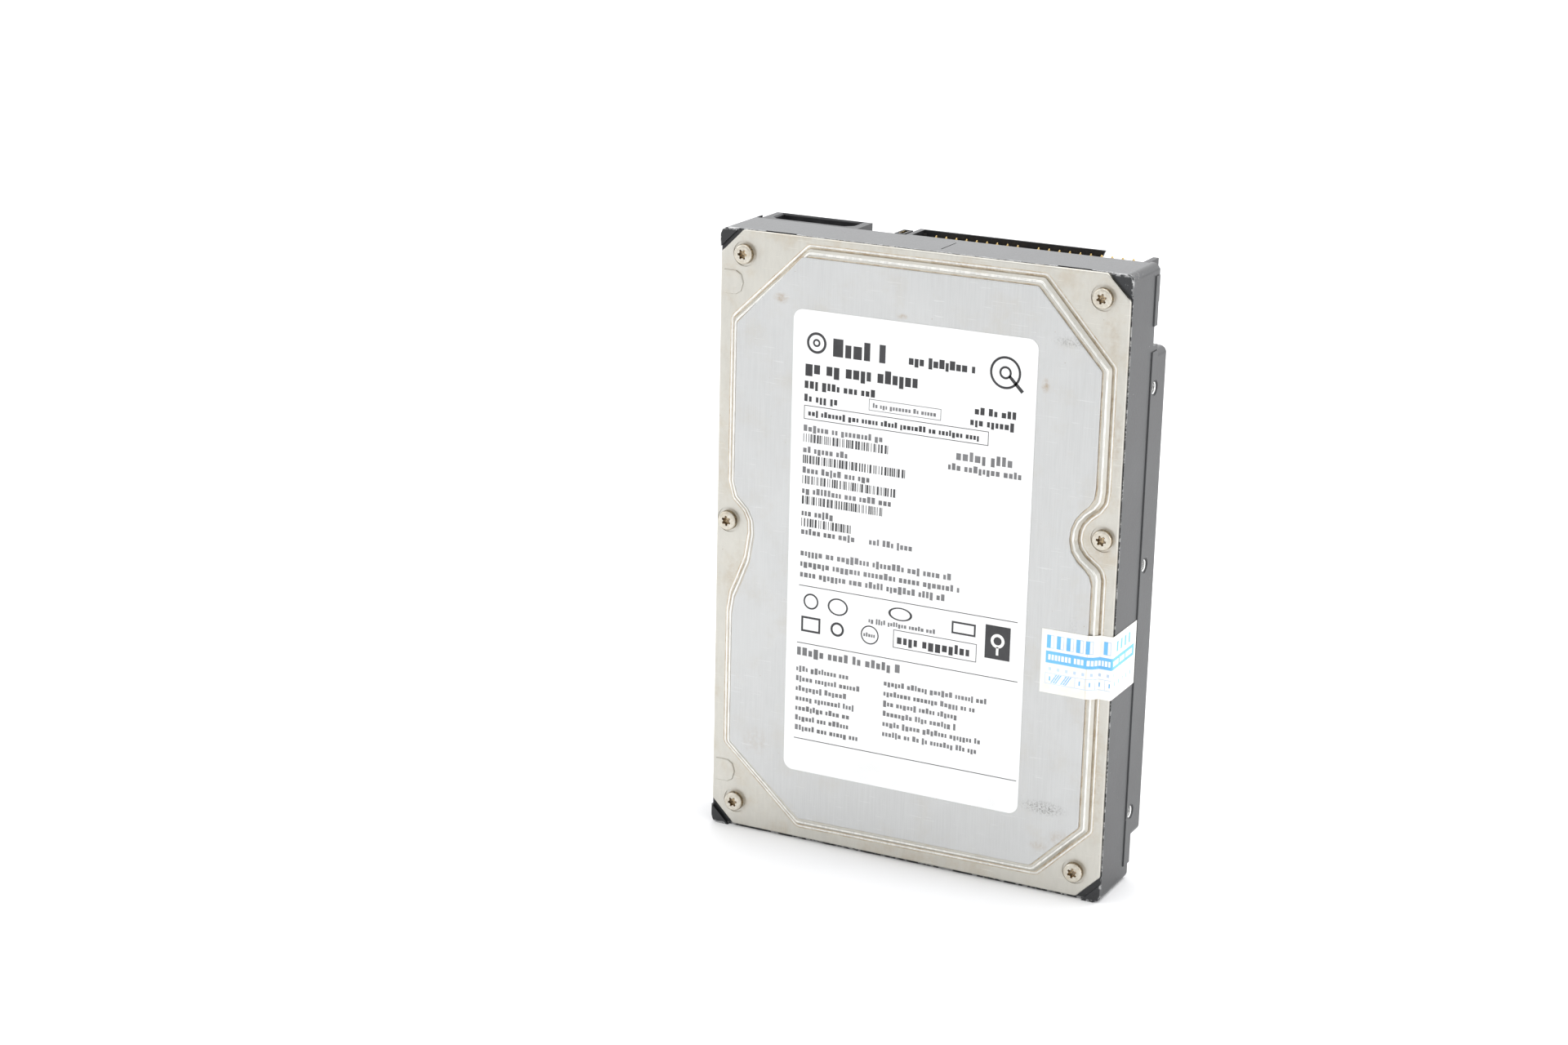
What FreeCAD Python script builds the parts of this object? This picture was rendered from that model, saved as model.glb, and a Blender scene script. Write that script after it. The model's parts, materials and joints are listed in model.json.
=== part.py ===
import FreeCAD, Part
import math
import os
import Sketcher
from FreeCAD import Vector, Placement, Rotation

# 3.5-inch hard disk drive with a parallel interface, standing on its short end.
# Every piece is drawn in a flat frame: x across the width, y along the length
# from the resting end (0) to the connector end, z through the thickness from
# the mounting plane (0, circuit board side) to the label face. STAND turns that
# frame upright, so the finished drive stands with its length along +Z, its
# label face towards -Y and its origin at the bottom centre of its box.

doc = FreeCAD.newDocument("hard_disk_drive")
sheet = doc.addObject("Spreadsheet::Sheet", "sizes")

SIZES = [
    # overall envelope
    ("case_width", 101.6, "overall width of the form factor"),
    ("case_length", 147.0, "overall length of the form factor"),
    ("case_height", 25.4, "overall thickness, one inch"),
    # levels through the thickness
    ("deck_low", 5.3, "underside of the casting deck"),
    ("deck_floor", 8.6, "inside floor of the casting"),
    ("seat_level", 22.5, "casting rim where the cover sits"),
    ("rim_level", 23.4, "top of the cover rim"),
    ("field_level", 24.6, "top of the raised field of the cover"),
    ("plate_level", 25.25, "top of the damping plate"),
    ("board_out", 1.6, "outer face of the circuit board"),
    ("board_in", 2.6, "inner face of the circuit board"),
    # casting
    ("rail_width", 7.4, "width of the mounting rails"),
    ("rail_start", 10.0, "start of the rails along the length"),
    ("rail_end", 127.0, "end of the rails along the length"),
    ("wall_inset", 0.25, "upper side wall stands back from the rail face"),
    ("crease_level", 8.9, "level where the side wall steps back"),
    ("bay_radius", 48.2, "radius of the platter bay"),
    ("corner_round", 1.6, "vertical corner radius of the casting"),
    # mounting holes
    ("side_hole_level", 6.35, "height of the side holes"),
    ("side_hole_a", 118.5, "first side hole from the resting end"),
    ("side_hole_b", 76.9, "middle side hole"),
    ("side_hole_c", 16.9, "last side hole"),
    ("bottom_hole_x", 47.625, "half the spacing of the bottom holes"),
    ("bottom_hole_a", 105.72, "bottom hole near the connector end"),
    ("bottom_hole_b", 61.27, "bottom hole 44.45 further"),
    ("screw_hole_r", 1.45, "wall radius of the 6-32 tapped holes"),
    ("side_hole_depth", 5.0, "depth of the side holes"),
    ("bottom_hole_depth", 4.6, "depth of the bottom holes"),
    # cover
    ("cover_half", 50.3, "half width of the cover"),
    ("cover_low", 0.7, "cover edge at the resting end"),
    ("cover_high", 146.9, "cover edge at the connector end"),
    ("cover_cut", 5.6, "corner cut of the cover"),
    ("sheet_thick", 0.9, "cover sheet thickness"),
    ("cover_screw_x", 44.1, "corner cover screws, across"),
    ("cover_screw_low", 6.75, "corner cover screws, resting end"),
    ("cover_screw_high", 141.4, "corner cover screws, connector end"),
    ("mid_left_x", 47.1, "left middle cover screw, across"),
    ("mid_left_y", 77.2, "left middle cover screw, along"),
    ("mid_right_x", 46.9, "right middle cover screw, across"),
    ("mid_right_y", 86.9, "right middle cover screw, along"),
    ("cover_head_r", 2.35, "cover screw head radius"),
    # label and sticker
    ("label_half", 30.2, "half width of the label"),
    ("label_low", 18.6, "label edge at the resting end"),
    ("label_high", 130.7, "label edge at the connector end"),
    # spindle
    ("spindle_y", 50.3, "spindle axis along the length"),
    ("hub_r", 12.5, "platter seat radius of the hub"),
    ("platter_r", 47.5, "platter outer radius"),
    ("platter_thick", 1.27, "platter thickness"),
    ("shoulder_level", 11.6, "hub shoulder that carries the lower platter"),
    ("spacer_thick", 2.53, "gap between the platters"),
    ("shaft_r", 2.5, "spindle shaft radius"),
    ("bearing_gap", 0.04, "radial clearance of the running fits"),
    # actuator
    ("pivot_x", 27.0, "actuator pivot, across"),
    ("pivot_y", 99.5, "actuator pivot, along"),
    ("arm_turn", -99.8, "direction of the arms when parked, degrees"),
    ("coil_low", 13.0, "underside of the voice coil"),
    ("coil_high", 15.4, "top of the voice coil"),
    # connectors
    ("pin_pitch", 2.54, "data connector pin pitch"),
    ("first_pin_x", -5.44, "first column of the data connector"),
    ("pin_size", 0.64, "square pin width"),
    ("shroud_back", 137.0, "rear of the connector shrouds"),
]


class Q:
    """A size with the expression text that binds it to the sheet."""

    def __init__(self, value, text):
        self.value, self.text = value, text

    def __add__(self, other):
        o = q(other)
        return Q(self.value + o.value, "(%s + %s)" % (self.text, o.text))

    def __radd__(self, other):
        return q(other) + self

    def __sub__(self, other):
        o = q(other)
        return Q(self.value - o.value, "(%s - %s)" % (self.text, o.text))

    def __rsub__(self, other):
        return q(other) - self

    def __mul__(self, other):
        o = q(other)
        return Q(self.value * o.value, "(%s * %s)" % (self.text, o.text))

    def __rmul__(self, other):
        return q(other) * self

    def __truediv__(self, other):
        o = q(other)
        return Q(self.value / o.value, "(%s / %s)" % (self.text, o.text))

    def __neg__(self):
        return Q(-self.value, "(0 - %s)" % self.text)

    @property
    def bound(self):
        return "sizes." in self.text


def q(v):
    if isinstance(v, Q):
        return v
    return Q(float(v), "%.5f" % v if v >= 0 else "(0 - %.5f)" % -v)


S = {}
for row_number, (alias, value, note) in enumerate(SIZES, 1):
    sheet.set("A%d" % row_number, alias)
    sheet.set("B%d" % row_number, repr(value))
    sheet.setAlias("B%d" % row_number, alias)
    sheet.set("C%d" % row_number, note)
    S[alias] = Q(value, "sizes." + alias)
doc.recompute()

HALF = S["case_height"] / 2
NODES = []


# ---------------------------------------------------------------- helpers
def stand(obj, x=0, y=0, z=0, turn=0.0):
    """Puts a piece drawn in the flat frame at (x, y, z), turned about the thickness, upright."""
    x, y, z = q(x), q(y), q(z)
    turned = Rotation(Vector(1, 0, 0), 90).multiply(Rotation(Vector(0, 0, 1), turn))
    obj.Placement = Placement(Vector(x.value, (HALF - z).value, y.value), turned)
    if x.bound:
        obj.setExpression(".Placement.Base.x", x.text)
    obj.setExpression(".Placement.Base.y", (HALF - z).text)
    if y.bound:
        obj.setExpression(".Placement.Base.z", y.text)


def new_body(label, x=0, y=0, z=0, turn=0.0):
    b = doc.addObject("PartDesign::Body", label)
    b.Label = label
    if hasattr(b, "AllowCompound"):
        b.AllowCompound = True
    stand(b, x, y, z, turn)
    NODES.append(b)
    return b


def origin_plane(body, role):
    for f in body.Origin.OriginFeatures:
        if f.Role == role:
            return f
    raise RuntimeError("no " + role)


def new_sketch(body, name, level=0, role="XY_Plane", ox=0, oy=0):
    sk = body.newObject("Sketcher::SketchObject", name)
    sk.AttachmentSupport = [(origin_plane(body, role), "")]
    sk.MapMode = "FlatFace"
    level, ox, oy = q(level), q(ox), q(oy)
    sk.AttachmentOffset = Placement(Vector(ox.value, oy.value, level.value), Rotation())
    for axis, v in (("x", ox), ("y", oy), ("z", level)):
        if v.bound:
            sk.setExpression(".AttachmentOffset.Base." + axis, v.text)
    return sk


def fix_point(sk, geo, pos, x, y):
    """Dimensions one point of the sketch from its origin."""
    for kind, v, axis in (("DistanceX", x, -2), ("DistanceY", y, -1)):
        if not v.bound and abs(v.value) < 1e-9:
            sk.addConstraint(Sketcher.Constraint("PointOnObject", geo, pos, axis))
        else:
            n = sk.addConstraint(Sketcher.Constraint(kind, -1, 1, geo, pos, v.value))
            if v.bound:
                sk.setExpression("Constraints[%d]" % n, v.text)


def poly(points):
    pts = [(q(a), q(b)) for a, b in points]

    def draw(sk):
        lines = []
        n = len(pts)
        for i in range(n):
            a, b = pts[i], pts[(i + 1) % n]
            lines.append(Part.LineSegment(Vector(a[0].value, a[1].value, 0), Vector(b[0].value, b[1].value, 0)))
        ids = sk.addGeometry(lines, False)
        sk.addConstraint([Sketcher.Constraint("Coincident", ids[i], 2, ids[(i + 1) % n], 1) for i in range(n)])
        for i in range(n):
            fix_point(sk, ids[i], 1, pts[i][0], pts[i][1])

    return draw


def rect(x0, y0, x1, y1):
    return poly([(x0, y0), (x1, y0), (x1, y1), (x0, y1)])


def circle(x, y, r):
    x, y, r = q(x), q(y), q(r)

    def draw(sk):
        i = sk.addGeometry(Part.Circle(Vector(x.value, y.value, 0), Vector(0, 0, 1), r.value), False)
        if not x.bound and not y.bound and abs(x.value) < 1e-9 and abs(y.value) < 1e-9:
            sk.addConstraint(Sketcher.Constraint("Coincident", i, 3, -1, 1))
        else:
            fix_point(sk, i, 3, x, y)
        n = sk.addConstraint(Sketcher.Constraint("Radius", i, r.value))
        if r.bound:
            sk.setExpression("Constraints[%d]" % n, r.text)

    return draw


def lobes(x, y, r_out, r_in, count=6, turn=0.0):
    """Outline of a six-lobe drive recess as a star with blunt points."""
    pts = []
    for i in range(count):
        a = math.radians(turn) + i * 2 * math.pi / count
        w = 2 * math.pi / count
        for da, r in ((-0.17, r_out), (0.17, r_out), (0.33, r_in), (0.67, r_in)):
            pts.append((x + r * math.cos(a + da * w), y + r * math.sin(a + da * w)))
    return poly(pts)


def pad(body, name, shapes, z0, z1, ox=0, oy=0, taper=None):
    z0, z1 = q(z0), q(z1)
    sk = new_sketch(body, name + "_sketch", z0, "XY_Plane", ox, oy)
    for s in shapes:
        s(sk)
    f = body.newObject("PartDesign::Pad", name)
    f.Profile = sk
    length = z1 - z0
    f.Length = length.value
    if length.bound:
        f.setExpression("Length", length.text)
    if taper:
        f.TaperAngle = taper
    return f


def pocket(body, name, shapes, z0, z1, ox=0, oy=0):
    """Cuts from level z1 down to level z0."""
    z0, z1 = q(z0), q(z1)
    sk = new_sketch(body, name + "_sketch", z1, "XY_Plane", ox, oy)
    for s in shapes:
        s(sk)
    doc.recompute()
    before = body.Tip.Shape.Volume
    f = body.newObject("PartDesign::Pocket", name)
    f.Profile = sk
    length = z1 - z0
    f.Length = length.value
    if length.bound:
        f.setExpression("Length", length.text)
    doc.recompute()
    if not f.Shape.Volume < before - 1e-6:
        raise RuntimeError("pocket %s of %s cuts nothing" % (name, body.Label))
    return f


def side_bore(body, name, spots, x_face, depth, r, inward):
    """Round holes along x, drilled inwards from the face at x_face."""
    x_face, depth, r = q(x_face), q(depth), q(r)
    sk = new_sketch(body, name + "_sketch", x_face, "YZ_Plane")
    for y, z in spots:
        circle(y, z, r)(sk)
    doc.recompute()
    before = body.Tip.Shape.Volume
    f = body.newObject("PartDesign::Pocket", name)
    f.Profile = sk
    f.Length = depth.value
    if depth.bound:
        f.setExpression("Length", depth.text)
    f.Reversed = not inward
    doc.recompute()
    if not f.Shape.Volume < before - 1e-6:
        raise RuntimeError("bore %s cuts nothing" % name)
    return f


def turned(body, name, profile, role="XZ_Plane"):
    """Revolves a closed profile of (radius, level) points about the piece's own axis."""
    sk = new_sketch(body, name + "_sketch", 0, role)
    poly(profile)(sk)
    f = body.newObject("PartDesign::Revolution", name)
    f.Profile = sk
    f.ReferenceAxis = (sk, ["V_Axis"])
    f.Angle = 360.0
    return f


def edge_names(shape, pick):
    return ["Edge%d" % (i + 1) for i, e in enumerate(shape.Edges) if pick(e)]


def dress(body, kind, name, size, pick):
    """Fillet or chamfer on the picked edges of the piece as it is so far."""
    doc.recompute()
    base = body.Tip
    names = edge_names(base.Shape, pick)
    if not names:
        raise RuntimeError("no edges for %s of %s" % (name, body.Label))
    f = body.newObject("PartDesign::" + kind, name)
    f.Base = (base, names)
    if kind == "Fillet":
        f.Radius = size
    else:
        f.Size = size
    doc.recompute()
    if "Invalid" in f.State or f.Shape.isNull() or not f.Shape.isValid():
        raise RuntimeError("%s of %s failed" % (name, body.Label))
    return f


def ends(e):
    return [v.Point for v in e.Vertexes]


def is_upright(e, spots=None, tol=0.05):
    """A straight edge along the thickness, at one of the given spots if any are given."""
    p = ends(e)
    if len(p) != 2 or abs(p[0].x - p[1].x) > 1e-4 or abs(p[0].y - p[1].y) > 1e-4 or abs(p[0].z - p[1].z) < 1e-4:
        return False
    if spots is None:
        return True
    return any(abs(p[0].x - a) < tol and abs(p[0].y - b) < tol for a, b in spots)


def is_level(e, z, tol=1e-3):
    b = e.BoundBox
    return abs(b.ZMin - z) < tol and abs(b.ZMax - z) < tol


def pattern_linear(body, name, originals, direction, length, count):
    f = body.newObject("PartDesign::LinearPattern", name)
    f.Originals = originals
    f.Direction = direction
    length = q(length)
    f.Length = length.value
    if length.bound:
        f.setExpression("Length", length.text)
    f.Occurrences = count
    body.Tip = f
    return f


def pattern_polar(body, name, originals, axis, count, angle=360.0):
    f = body.newObject("PartDesign::PolarPattern", name)
    f.Originals = originals
    f.Axis = axis
    f.Angle = angle
    f.Occurrences = count
    body.Tip = f
    return f


# ---------------------------------------------------------------- base casting
W = S["case_width"] / 2
LEN = S["case_length"]
inset = S["wall_inset"]
base = new_body("base_casting")
pad(base, "tub", [rect(-W + inset, 0, W - inset, LEN)], S["deck_low"], S["seat_level"])
cw = (W - inset).value
dress(base, "Fillet", "tub_corners", 1.6,
      lambda e: is_upright(e, [(-cw, 0), (cw, 0), (cw, 147.0), (-cw, 147.0)]))
# side belt: the lower part of the wall stands out to the full width
pad(base, "belt", [rect(W - 3, 4.0, W, 127.1), rect(-W, 4.0, -W + 3, 127.1),
                   rect(W - 3, 133.0, W, 144.4), rect(-W, 133.0, -W + 3, 144.4)],
    S["deck_low"], S["crease_level"])
# mounting rails on both sides of the board bay
rw = S["rail_width"]
pad(base, "rails", [rect(W - rw, S["rail_start"], W, S["rail_end"]),
                    rect(-W, S["rail_start"], -W + rw, S["rail_end"])], 0, S["deck_low"] + 0.2)
dress(base, "Fillet", "rail_ends", 1.6,
      lambda e: is_upright(e, [(sx * x, y) for sx in (-1, 1) for x in (50.8, 43.4) for y in (10.0, 127.0)]))
# inside: platter bay and actuator chamber
pocket(base, "platter_bay", [circle(0, S["spindle_y"], S["bay_radius"])], S["deck_floor"], S["seat_level"])
CHAMBER = [(-45.0, 64.5), (45.0, 64.5), (45.0, 80.6), (41.6, 83.4), (41.6, 90.4), (45.0, 93.4), (45.0, 128.0),
           (37.5, 136.0), (-35.5, 136.0), (-45.0, 126.5), (-45.0, 84.0), (-41.6, 81.0), (-41.6, 73.6), (-45.0, 70.4)]
pocket(base, "actuator_chamber", [poly(CHAMBER)], S["deck_floor"], S["seat_level"])
dress(base, "Fillet", "chamber_corners", 1.5,
      lambda e: is_upright(e, [(45.0, 128.0), (37.5, 136.0), (-35.5, 136.0), (-45.0, 126.5)]))
# underside: ring around the motor and radial pockets in the deck
pad(base, "motor_ring", [circle(0, S["spindle_y"], 19.6), circle(0, S["spindle_y"], 17.1)], 4.1, S["deck_low"] + 0.1)
wedge = [(21.4 * math.cos(a), 21.4 * math.sin(a)) for a in (-0.095, 0.095)] + \
        [(39.0 * math.cos(a), 39.0 * math.sin(a)) for a in (0.150, 0.0, -0.150)]
sk = new_sketch(base, "wedge_sketch", 7.0, "XY_Plane", 0, S["spindle_y"])
poly(wedge)(sk)
wedge_cut = base.newObject("PartDesign::Pocket", "wedge")
wedge_cut.Profile = sk
wedge_cut.Length = 3.0
doc.recompute()
pattern_polar(base, "wedges", [wedge_cut], (sk, ["N_Axis"]), 16)
doc.recompute()
# motor opening
pocket(base, "motor_opening", [circle(0, S["spindle_y"], 14.0)], 3.5, S["deck_floor"])
# four low corner pockets on the underside
pocket(base, "corner_wells", [poly([(37.0, 3.0), (46.5, 3.0), (46.5, 12.5), (43.0, 12.5), (37.0, 6.5)]),
                              poly([(-37.0, 3.0), (-37.0, 6.5), (-43.0, 12.5), (-46.5, 12.5), (-46.5, 3.0)])],
       5.2, 9.4)
# bosses under the board
BOARD_BOSSES = [(-36.0, 128.5), (36.5, 128.5), (-2.0, 112.5), (-27.0, 86.5), (31.5, 109.5)]
pad(base, "board_bosses", [circle(x, y, 3.2) for x, y in BOARD_BOSSES], S["board_in"], S["deck_low"] + 0.2)
pocket(base, "board_screw_holes", [circle(x, y, 1.05) for x, y in BOARD_BOSSES], S["board_in"] - 0.1, 7.9)
# bay for the connectors at the end, cut from the board side
pocket(base, "connector_bay", [rect(-10.9, 136.6, W - 2.4, LEN + 1)], 5.0, 7.75)
pocket(base, "power_bay", [rect(-49.0, 136.6, -10.5, LEN + 1)], 5.0, 8.4)
pocket(base, "end_corner", [rect(W - 2.6, 138.4, W + 1, LEN + 1)], 5.0, 6.6)
pocket(base, "end_corner_low", [rect(W - 2.6, 132.9, W + 1, 138.4)], 5.0, 6.9)
pocket(base, "jumper_relief", [rect(-21.8, 133.0, -10.9, 137.0)], 5.0, 7.2)
pocket(base, "pin_relief", [rect(-6.4, 133.0, 43.8, 137.0)], 5.0, 5.6)
# shallow relief in the deck that leaves the axis between the first pair of side holes open
pocket(base, "side_hole_axis_relief", [rect(-2.4, 117.0, 3.2, 127.0)], 5.0, 6.9)
# openings: head connector through the deck, breather hole
pocket(base, "head_connector_opening", [rect(-19.6, 112.4, -0.4 - 6.0, 119.6)], 5.0, S["deck_floor"] + 0.1)
pocket(base, "breather_hole", [circle(-30.0, 112.0, 1.0)], 5.0, S["deck_floor"] + 0.1)
# pads that carry the lower yoke
VCM = [(96.0, 33.0), (150.0, 20.0), (43.0, 20.0)]
VCM_XY = [(27.0 + r * math.cos(math.radians(a)), 99.5 + r * math.sin(math.radians(a))) for a, r in VCM]
pad(base, "yoke_pads", [circle(x, y, 2.9) for x, y in VCM_XY], S["deck_floor"] - 0.2, 9.2)
pad(base, "pivot_pad", [circle(S["pivot_x"], S["pivot_y"], 4.2)], S["deck_floor"] - 0.2, 9.1)
# cover screw holes
COVER_SCREWS = [(-S["cover_screw_x"], S["cover_screw_high"]), (S["cover_screw_x"], S["cover_screw_high"]),
                (-S["mid_left_x"], S["mid_left_y"]), (S["mid_right_x"], S["mid_right_y"]),
                (-S["cover_screw_x"], S["cover_screw_low"]), (S["cover_screw_x"], S["cover_screw_low"])]
pocket(base, "cover_screw_holes", [circle(x, y, 1.25) for x, y in COVER_SCREWS], 14.5, S["seat_level"])
# pry slots between the casting and the cover at the connector end
pocket(base, "pry_slots", [rect(-39.5, 145.6, -31.5, LEN + 1), rect(32.5, 145.6, 40.5, LEN + 1)], 21.6, S["seat_level"])
# gaps at the side walls before the connector end
pocket(base, "side_gaps", [rect(W - 4.6, 128.4, W + 1, 133.0), rect(-W - 1, 128.4, -W + 4.6, 133.0)], 5.0, 8.0)
# raised posts outside the cut corners of the cover
POST = [(46.0, 0.0), (48.95, 0.0), (50.08, 0.47), (50.55, 1.6), (50.55, 4.55)]
pad(base, "corner_posts", [poly([(sx * x, y if sy > 0 else LEN - y) for x, y in POST]) for sx in (-1, 1) for sy in (-1, 1)],
    22.4, 23.3)
# a faint parting seam down the end face
pocket(base, "end_seam", [rect(3.1, 146.75, 3.35, LEN + 1)], 11.0, 19.2)
# tapped mounting holes
SIDE = [(S["side_hole_a"], S["side_hole_level"]), (S["side_hole_b"], S["side_hole_level"]),
        (S["side_hole_c"], S["side_hole_level"])]
side_bore(base, "side_holes_right", SIDE, W, S["side_hole_depth"], S["screw_hole_r"], True)
side_bore(base, "side_holes_left", SIDE, -W, S["side_hole_depth"], S["screw_hole_r"], False)
BOTTOM = [(sx, y) for sx in (S["bottom_hole_x"], -S["bottom_hole_x"]) for y in (S["bottom_hole_a"], S["bottom_hole_b"])]
pocket(base, "bottom_holes", [circle(x, y, S["screw_hole_r"]) for x, y in BOTTOM], 0, S["bottom_hole_depth"])


def hole_mouth(e):
    c = getattr(e, "Curve", None)
    if c is None or c.TypeId != "Part::GeomCircle" or abs(c.Radius - 1.45) > 1e-3:
        return False
    p = c.Center
    return abs(abs(p.x) - 50.8) < 1e-3 or (abs(p.z) < 1e-3 and abs(abs(p.x) - 47.625) < 1e-3)


dress(base, "Chamfer", "hole_mouths", 0.45, hole_mouth)
# softened outer edges
dress(base, "Chamfer", "crease_edge", 0.2,
      lambda e: is_level(e, 8.9) and abs(abs(e.CenterOfMass.x) - 50.8) < 1e-3)
dress(base, "Fillet", "deck_edge", 0.5,
      lambda e: is_level(e, 5.3) and e.BoundBox.YMax < 0.6 and e.Length > 50)

# ---------------------------------------------------------------- top cover
cover = new_body("top_cover")
CH, C0, C1, CC = S["cover_half"], S["cover_low"], S["cover_high"], S["cover_cut"]
RIM = [(-CH + CC, C0), (CH - CC, C0), (CH, C0 + CC), (CH, C1 - CC), (CH - CC, C1), (-CH + CC, C1), (-CH, C1 - CC), (-CH, C0 + CC)]
pad(cover, "rim", [poly(RIM)], S["seat_level"], S["rim_level"])
dress(cover, "Fillet", "rim_corners", 1.0, lambda e: is_upright(e))
FIELD = [(-27.0, 4.3), (34.5, 4.9), (47.1, 17.4), (47.1, 77.4), (46.7, 79.05), (45.75, 80.2), (44.5, 81.05), (42.95, 82.25), (41.5, 84.05), (41.0, 86.05), (41.2, 88.1), (41.95, 89.95), (43.35, 91.6), (45.5, 93.4), (46.8, 95.4), (47.1, 98.0),
         (47.1, 126.0), (30.4, 144.4), (-27.4, 144.4), (-46.4, 126.0), (-46.4, 87.0), (-45.3, 83.2), (-42.4, 80.4), (-41.2, 78.0), (-41.0, 75.0), (-42.0, 68.6), (-44.1, 63.2), (-45.7, 59.4), (-46.4, 55.0), (-46.4, 21.8)]
pad(cover, "field", [poly(FIELD)], S["rim_level"], S["field_level"])
dress(cover, "Fillet", "field_corners", 1.4,
      lambda e: is_upright(e, FIELD) and ends(e)[0].z > 23.3)
dress(cover, "Chamfer", "field_slope", 0.75, lambda e: is_level(e, 24.6))
dress(cover, "Fillet", "rim_edge", 0.35,
      lambda e: is_level(e, 23.4) and (abs(e.BoundBox.XMin) > 44.0 or abs(e.BoundBox.XMax) > 44.0 or e.BoundBox.YMax < 2 or e.BoundBox.YMin > 146)
      and (e.BoundBox.YMin > 140.0 or e.BoundBox.YMax < 7.5 or abs(e.BoundBox.XMax) > 50.0 and abs(e.BoundBox.XMin) > 50.0))
# two pressed marks on the left rim, flat towards the edge
pad(cover, "rim_marks", [poly([(-49.4, y0), (-46.2, y0), (-44.9, y0 + 0.8), (-44.3, y0 + 2.8), (-44.9, y0 + 4.8),
                               (-46.2, y0 + 5.6), (-49.4, y0 + 5.6)]) for y0 in (131.7, 11.3)], 23.3, 23.75)
dress(cover, "Fillet", "rim_mark_edges", 0.3, lambda e: is_level(e, 23.75))
# hollow underside
HOLLOW = [(x * 0.962, 74.0 + (y - 74.0) * 0.972) for x, y in FIELD]
pocket(cover, "hollow", [poly(HOLLOW)], S["seat_level"], S["field_level"] - S["sheet_thick"])
GASKET_OUT = [(-46.3, 62.5), (46.3, 62.5), (46.3, 81.2), (42.9, 84.0), (42.9, 89.8), (46.3, 92.8), (46.3, 128.5),
              (38.1, 137.4), (-36.1, 137.4), (-46.3, 127.1), (-46.3, 84.6), (-42.9, 81.6), (-42.9, 73.0), (-46.3, 69.8)]
pocket(cover, "seal_step", [poly([(x * 1.002, y) for x, y in GASKET_OUT])], S["seat_level"], 22.9)
pocket(cover, "seal_step_bay", [circle(0, S["spindle_y"], 49.65)], S["seat_level"], 22.9)
pocket(cover, "screw_seats", [circle(x, y, 3.0) for x, y in COVER_SCREWS], 23.15, S["rim_level"] + 2)
pocket(cover, "screw_holes", [circle(x, y, 1.45) for x, y in COVER_SCREWS], S["seat_level"], S["rim_level"] + 1)

# ---------------------------------------------------------------- damping plate, label, gasket, sticker
damper = new_body("damping_plate")
PLATE = [(-26.2, 6.2), (33.7, 6.7), (45.2, 18.2), (45.2, 76.2), (44.6, 78.2), (43.4, 79.6), (41.6, 81.1), (40.0, 83.4), (39.5, 86.1), (39.75, 88.6), (40.7, 91.0), (42.3, 93.0), (43.9, 94.5), (44.9, 96.3), (45.2, 98.9),
         (45.2, 125.3), (29.4, 142.6), (-28.6, 142.6), (-45.0, 125.4), (-45.0, 87.3), (-43.9, 83.9), (-41.1, 81.1), (-39.7, 78.4), (-39.4, 74.9), (-40.5, 68.1), (-42.7, 62.5), (-44.3, 58.8), (-45.0, 54.6), (-45.0, 22.6)]
pad(damper, "plate", [poly(PLATE)], S["field_level"], S["plate_level"])
dress(damper, "Fillet", "plate_corners", 1.2, lambda e: is_upright(e))
dress(damper, "Fillet", "plate_edge", 0.25, lambda e: is_level(e, 25.25))

label = new_body("product_label")
LH, L0, L1 = S["label_half"], S["label_low"], S["label_high"]
pad(label, "sheet", [rect(-LH, L0, LH, L1)], S["plate_level"], S["case_height"])
dress(label, "Fillet", "label_corners", 2.4, lambda e: is_upright(e))

gasket = new_body("cover_gasket")
pad(gasket, "chamber_ring", [poly(GASKET_OUT)], S["seat_level"], 22.9)
pad(gasket, "bay_ring", [circle(0, S["spindle_y"], 49.5)], S["seat_level"], 22.9)
GASKET_IN = [(-45.2, 64.3), (45.2, 64.3), (45.2, 80.7), (41.8, 83.5), (41.8, 90.3), (45.2, 93.3), (45.2, 128.1),
             (37.6, 136.2), (-35.6, 136.2), (-45.2, 126.6), (-45.2, 84.1), (-41.8, 81.1), (-41.8, 73.5), (-45.2, 70.3)]
pocket(gasket, "chamber_opening", [poly(GASKET_IN)], S["seat_level"] - 0.1, 23.0)
pocket(gasket, "bay_opening", [circle(0, S["spindle_y"], 48.4)], S["seat_level"] - 0.1, 23.0)

sticker = new_body("warranty_sticker")
sk = new_sketch(sticker, "profile", -49.5, "XZ_Plane")
poly([(34.2, 25.27), (45.3, 25.27), (46.5, 24.68), (47.2, 23.95), (47.6, 23.45), (50.38, 23.43), (50.60, 23.2), (50.60, 8.95), (50.70, 8.95),
      (50.70, 23.3), (50.46, 23.56), (47.66, 23.56), (47.3, 24.02), (46.56, 24.79), (45.34, 25.38), (34.2, 25.38)])(sk)
strip = sticker.newObject("PartDesign::Pad", "strip")
strip.Profile = sk
strip.Length = 15.1
doc.recompute()
if strip.Shape.BoundBox.YMin < 40:
    strip.Reversed = True

# ---------------------------------------------------------------- cover screws
screws = new_body("cover_screws")
hr = S["cover_head_r"]
pad(screws, "shanks", [circle(x, y, 1.2) for x, y in COVER_SCREWS], 15.5, 23.3)
pad(screws, "heads", [circle(x, y, hr) for x, y in COVER_SCREWS], 23.15, 24.85)
dress(screws, "Fillet", "head_domes", 0.55, lambda e: is_level(e, 24.85))
pocket(screws, "drives", [lobes(x.value, y.value, 1.22, 0.86, 6, 17.0 * i) for i, (x, y) in enumerate(COVER_SCREWS)], 23.9, 24.9)

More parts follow.
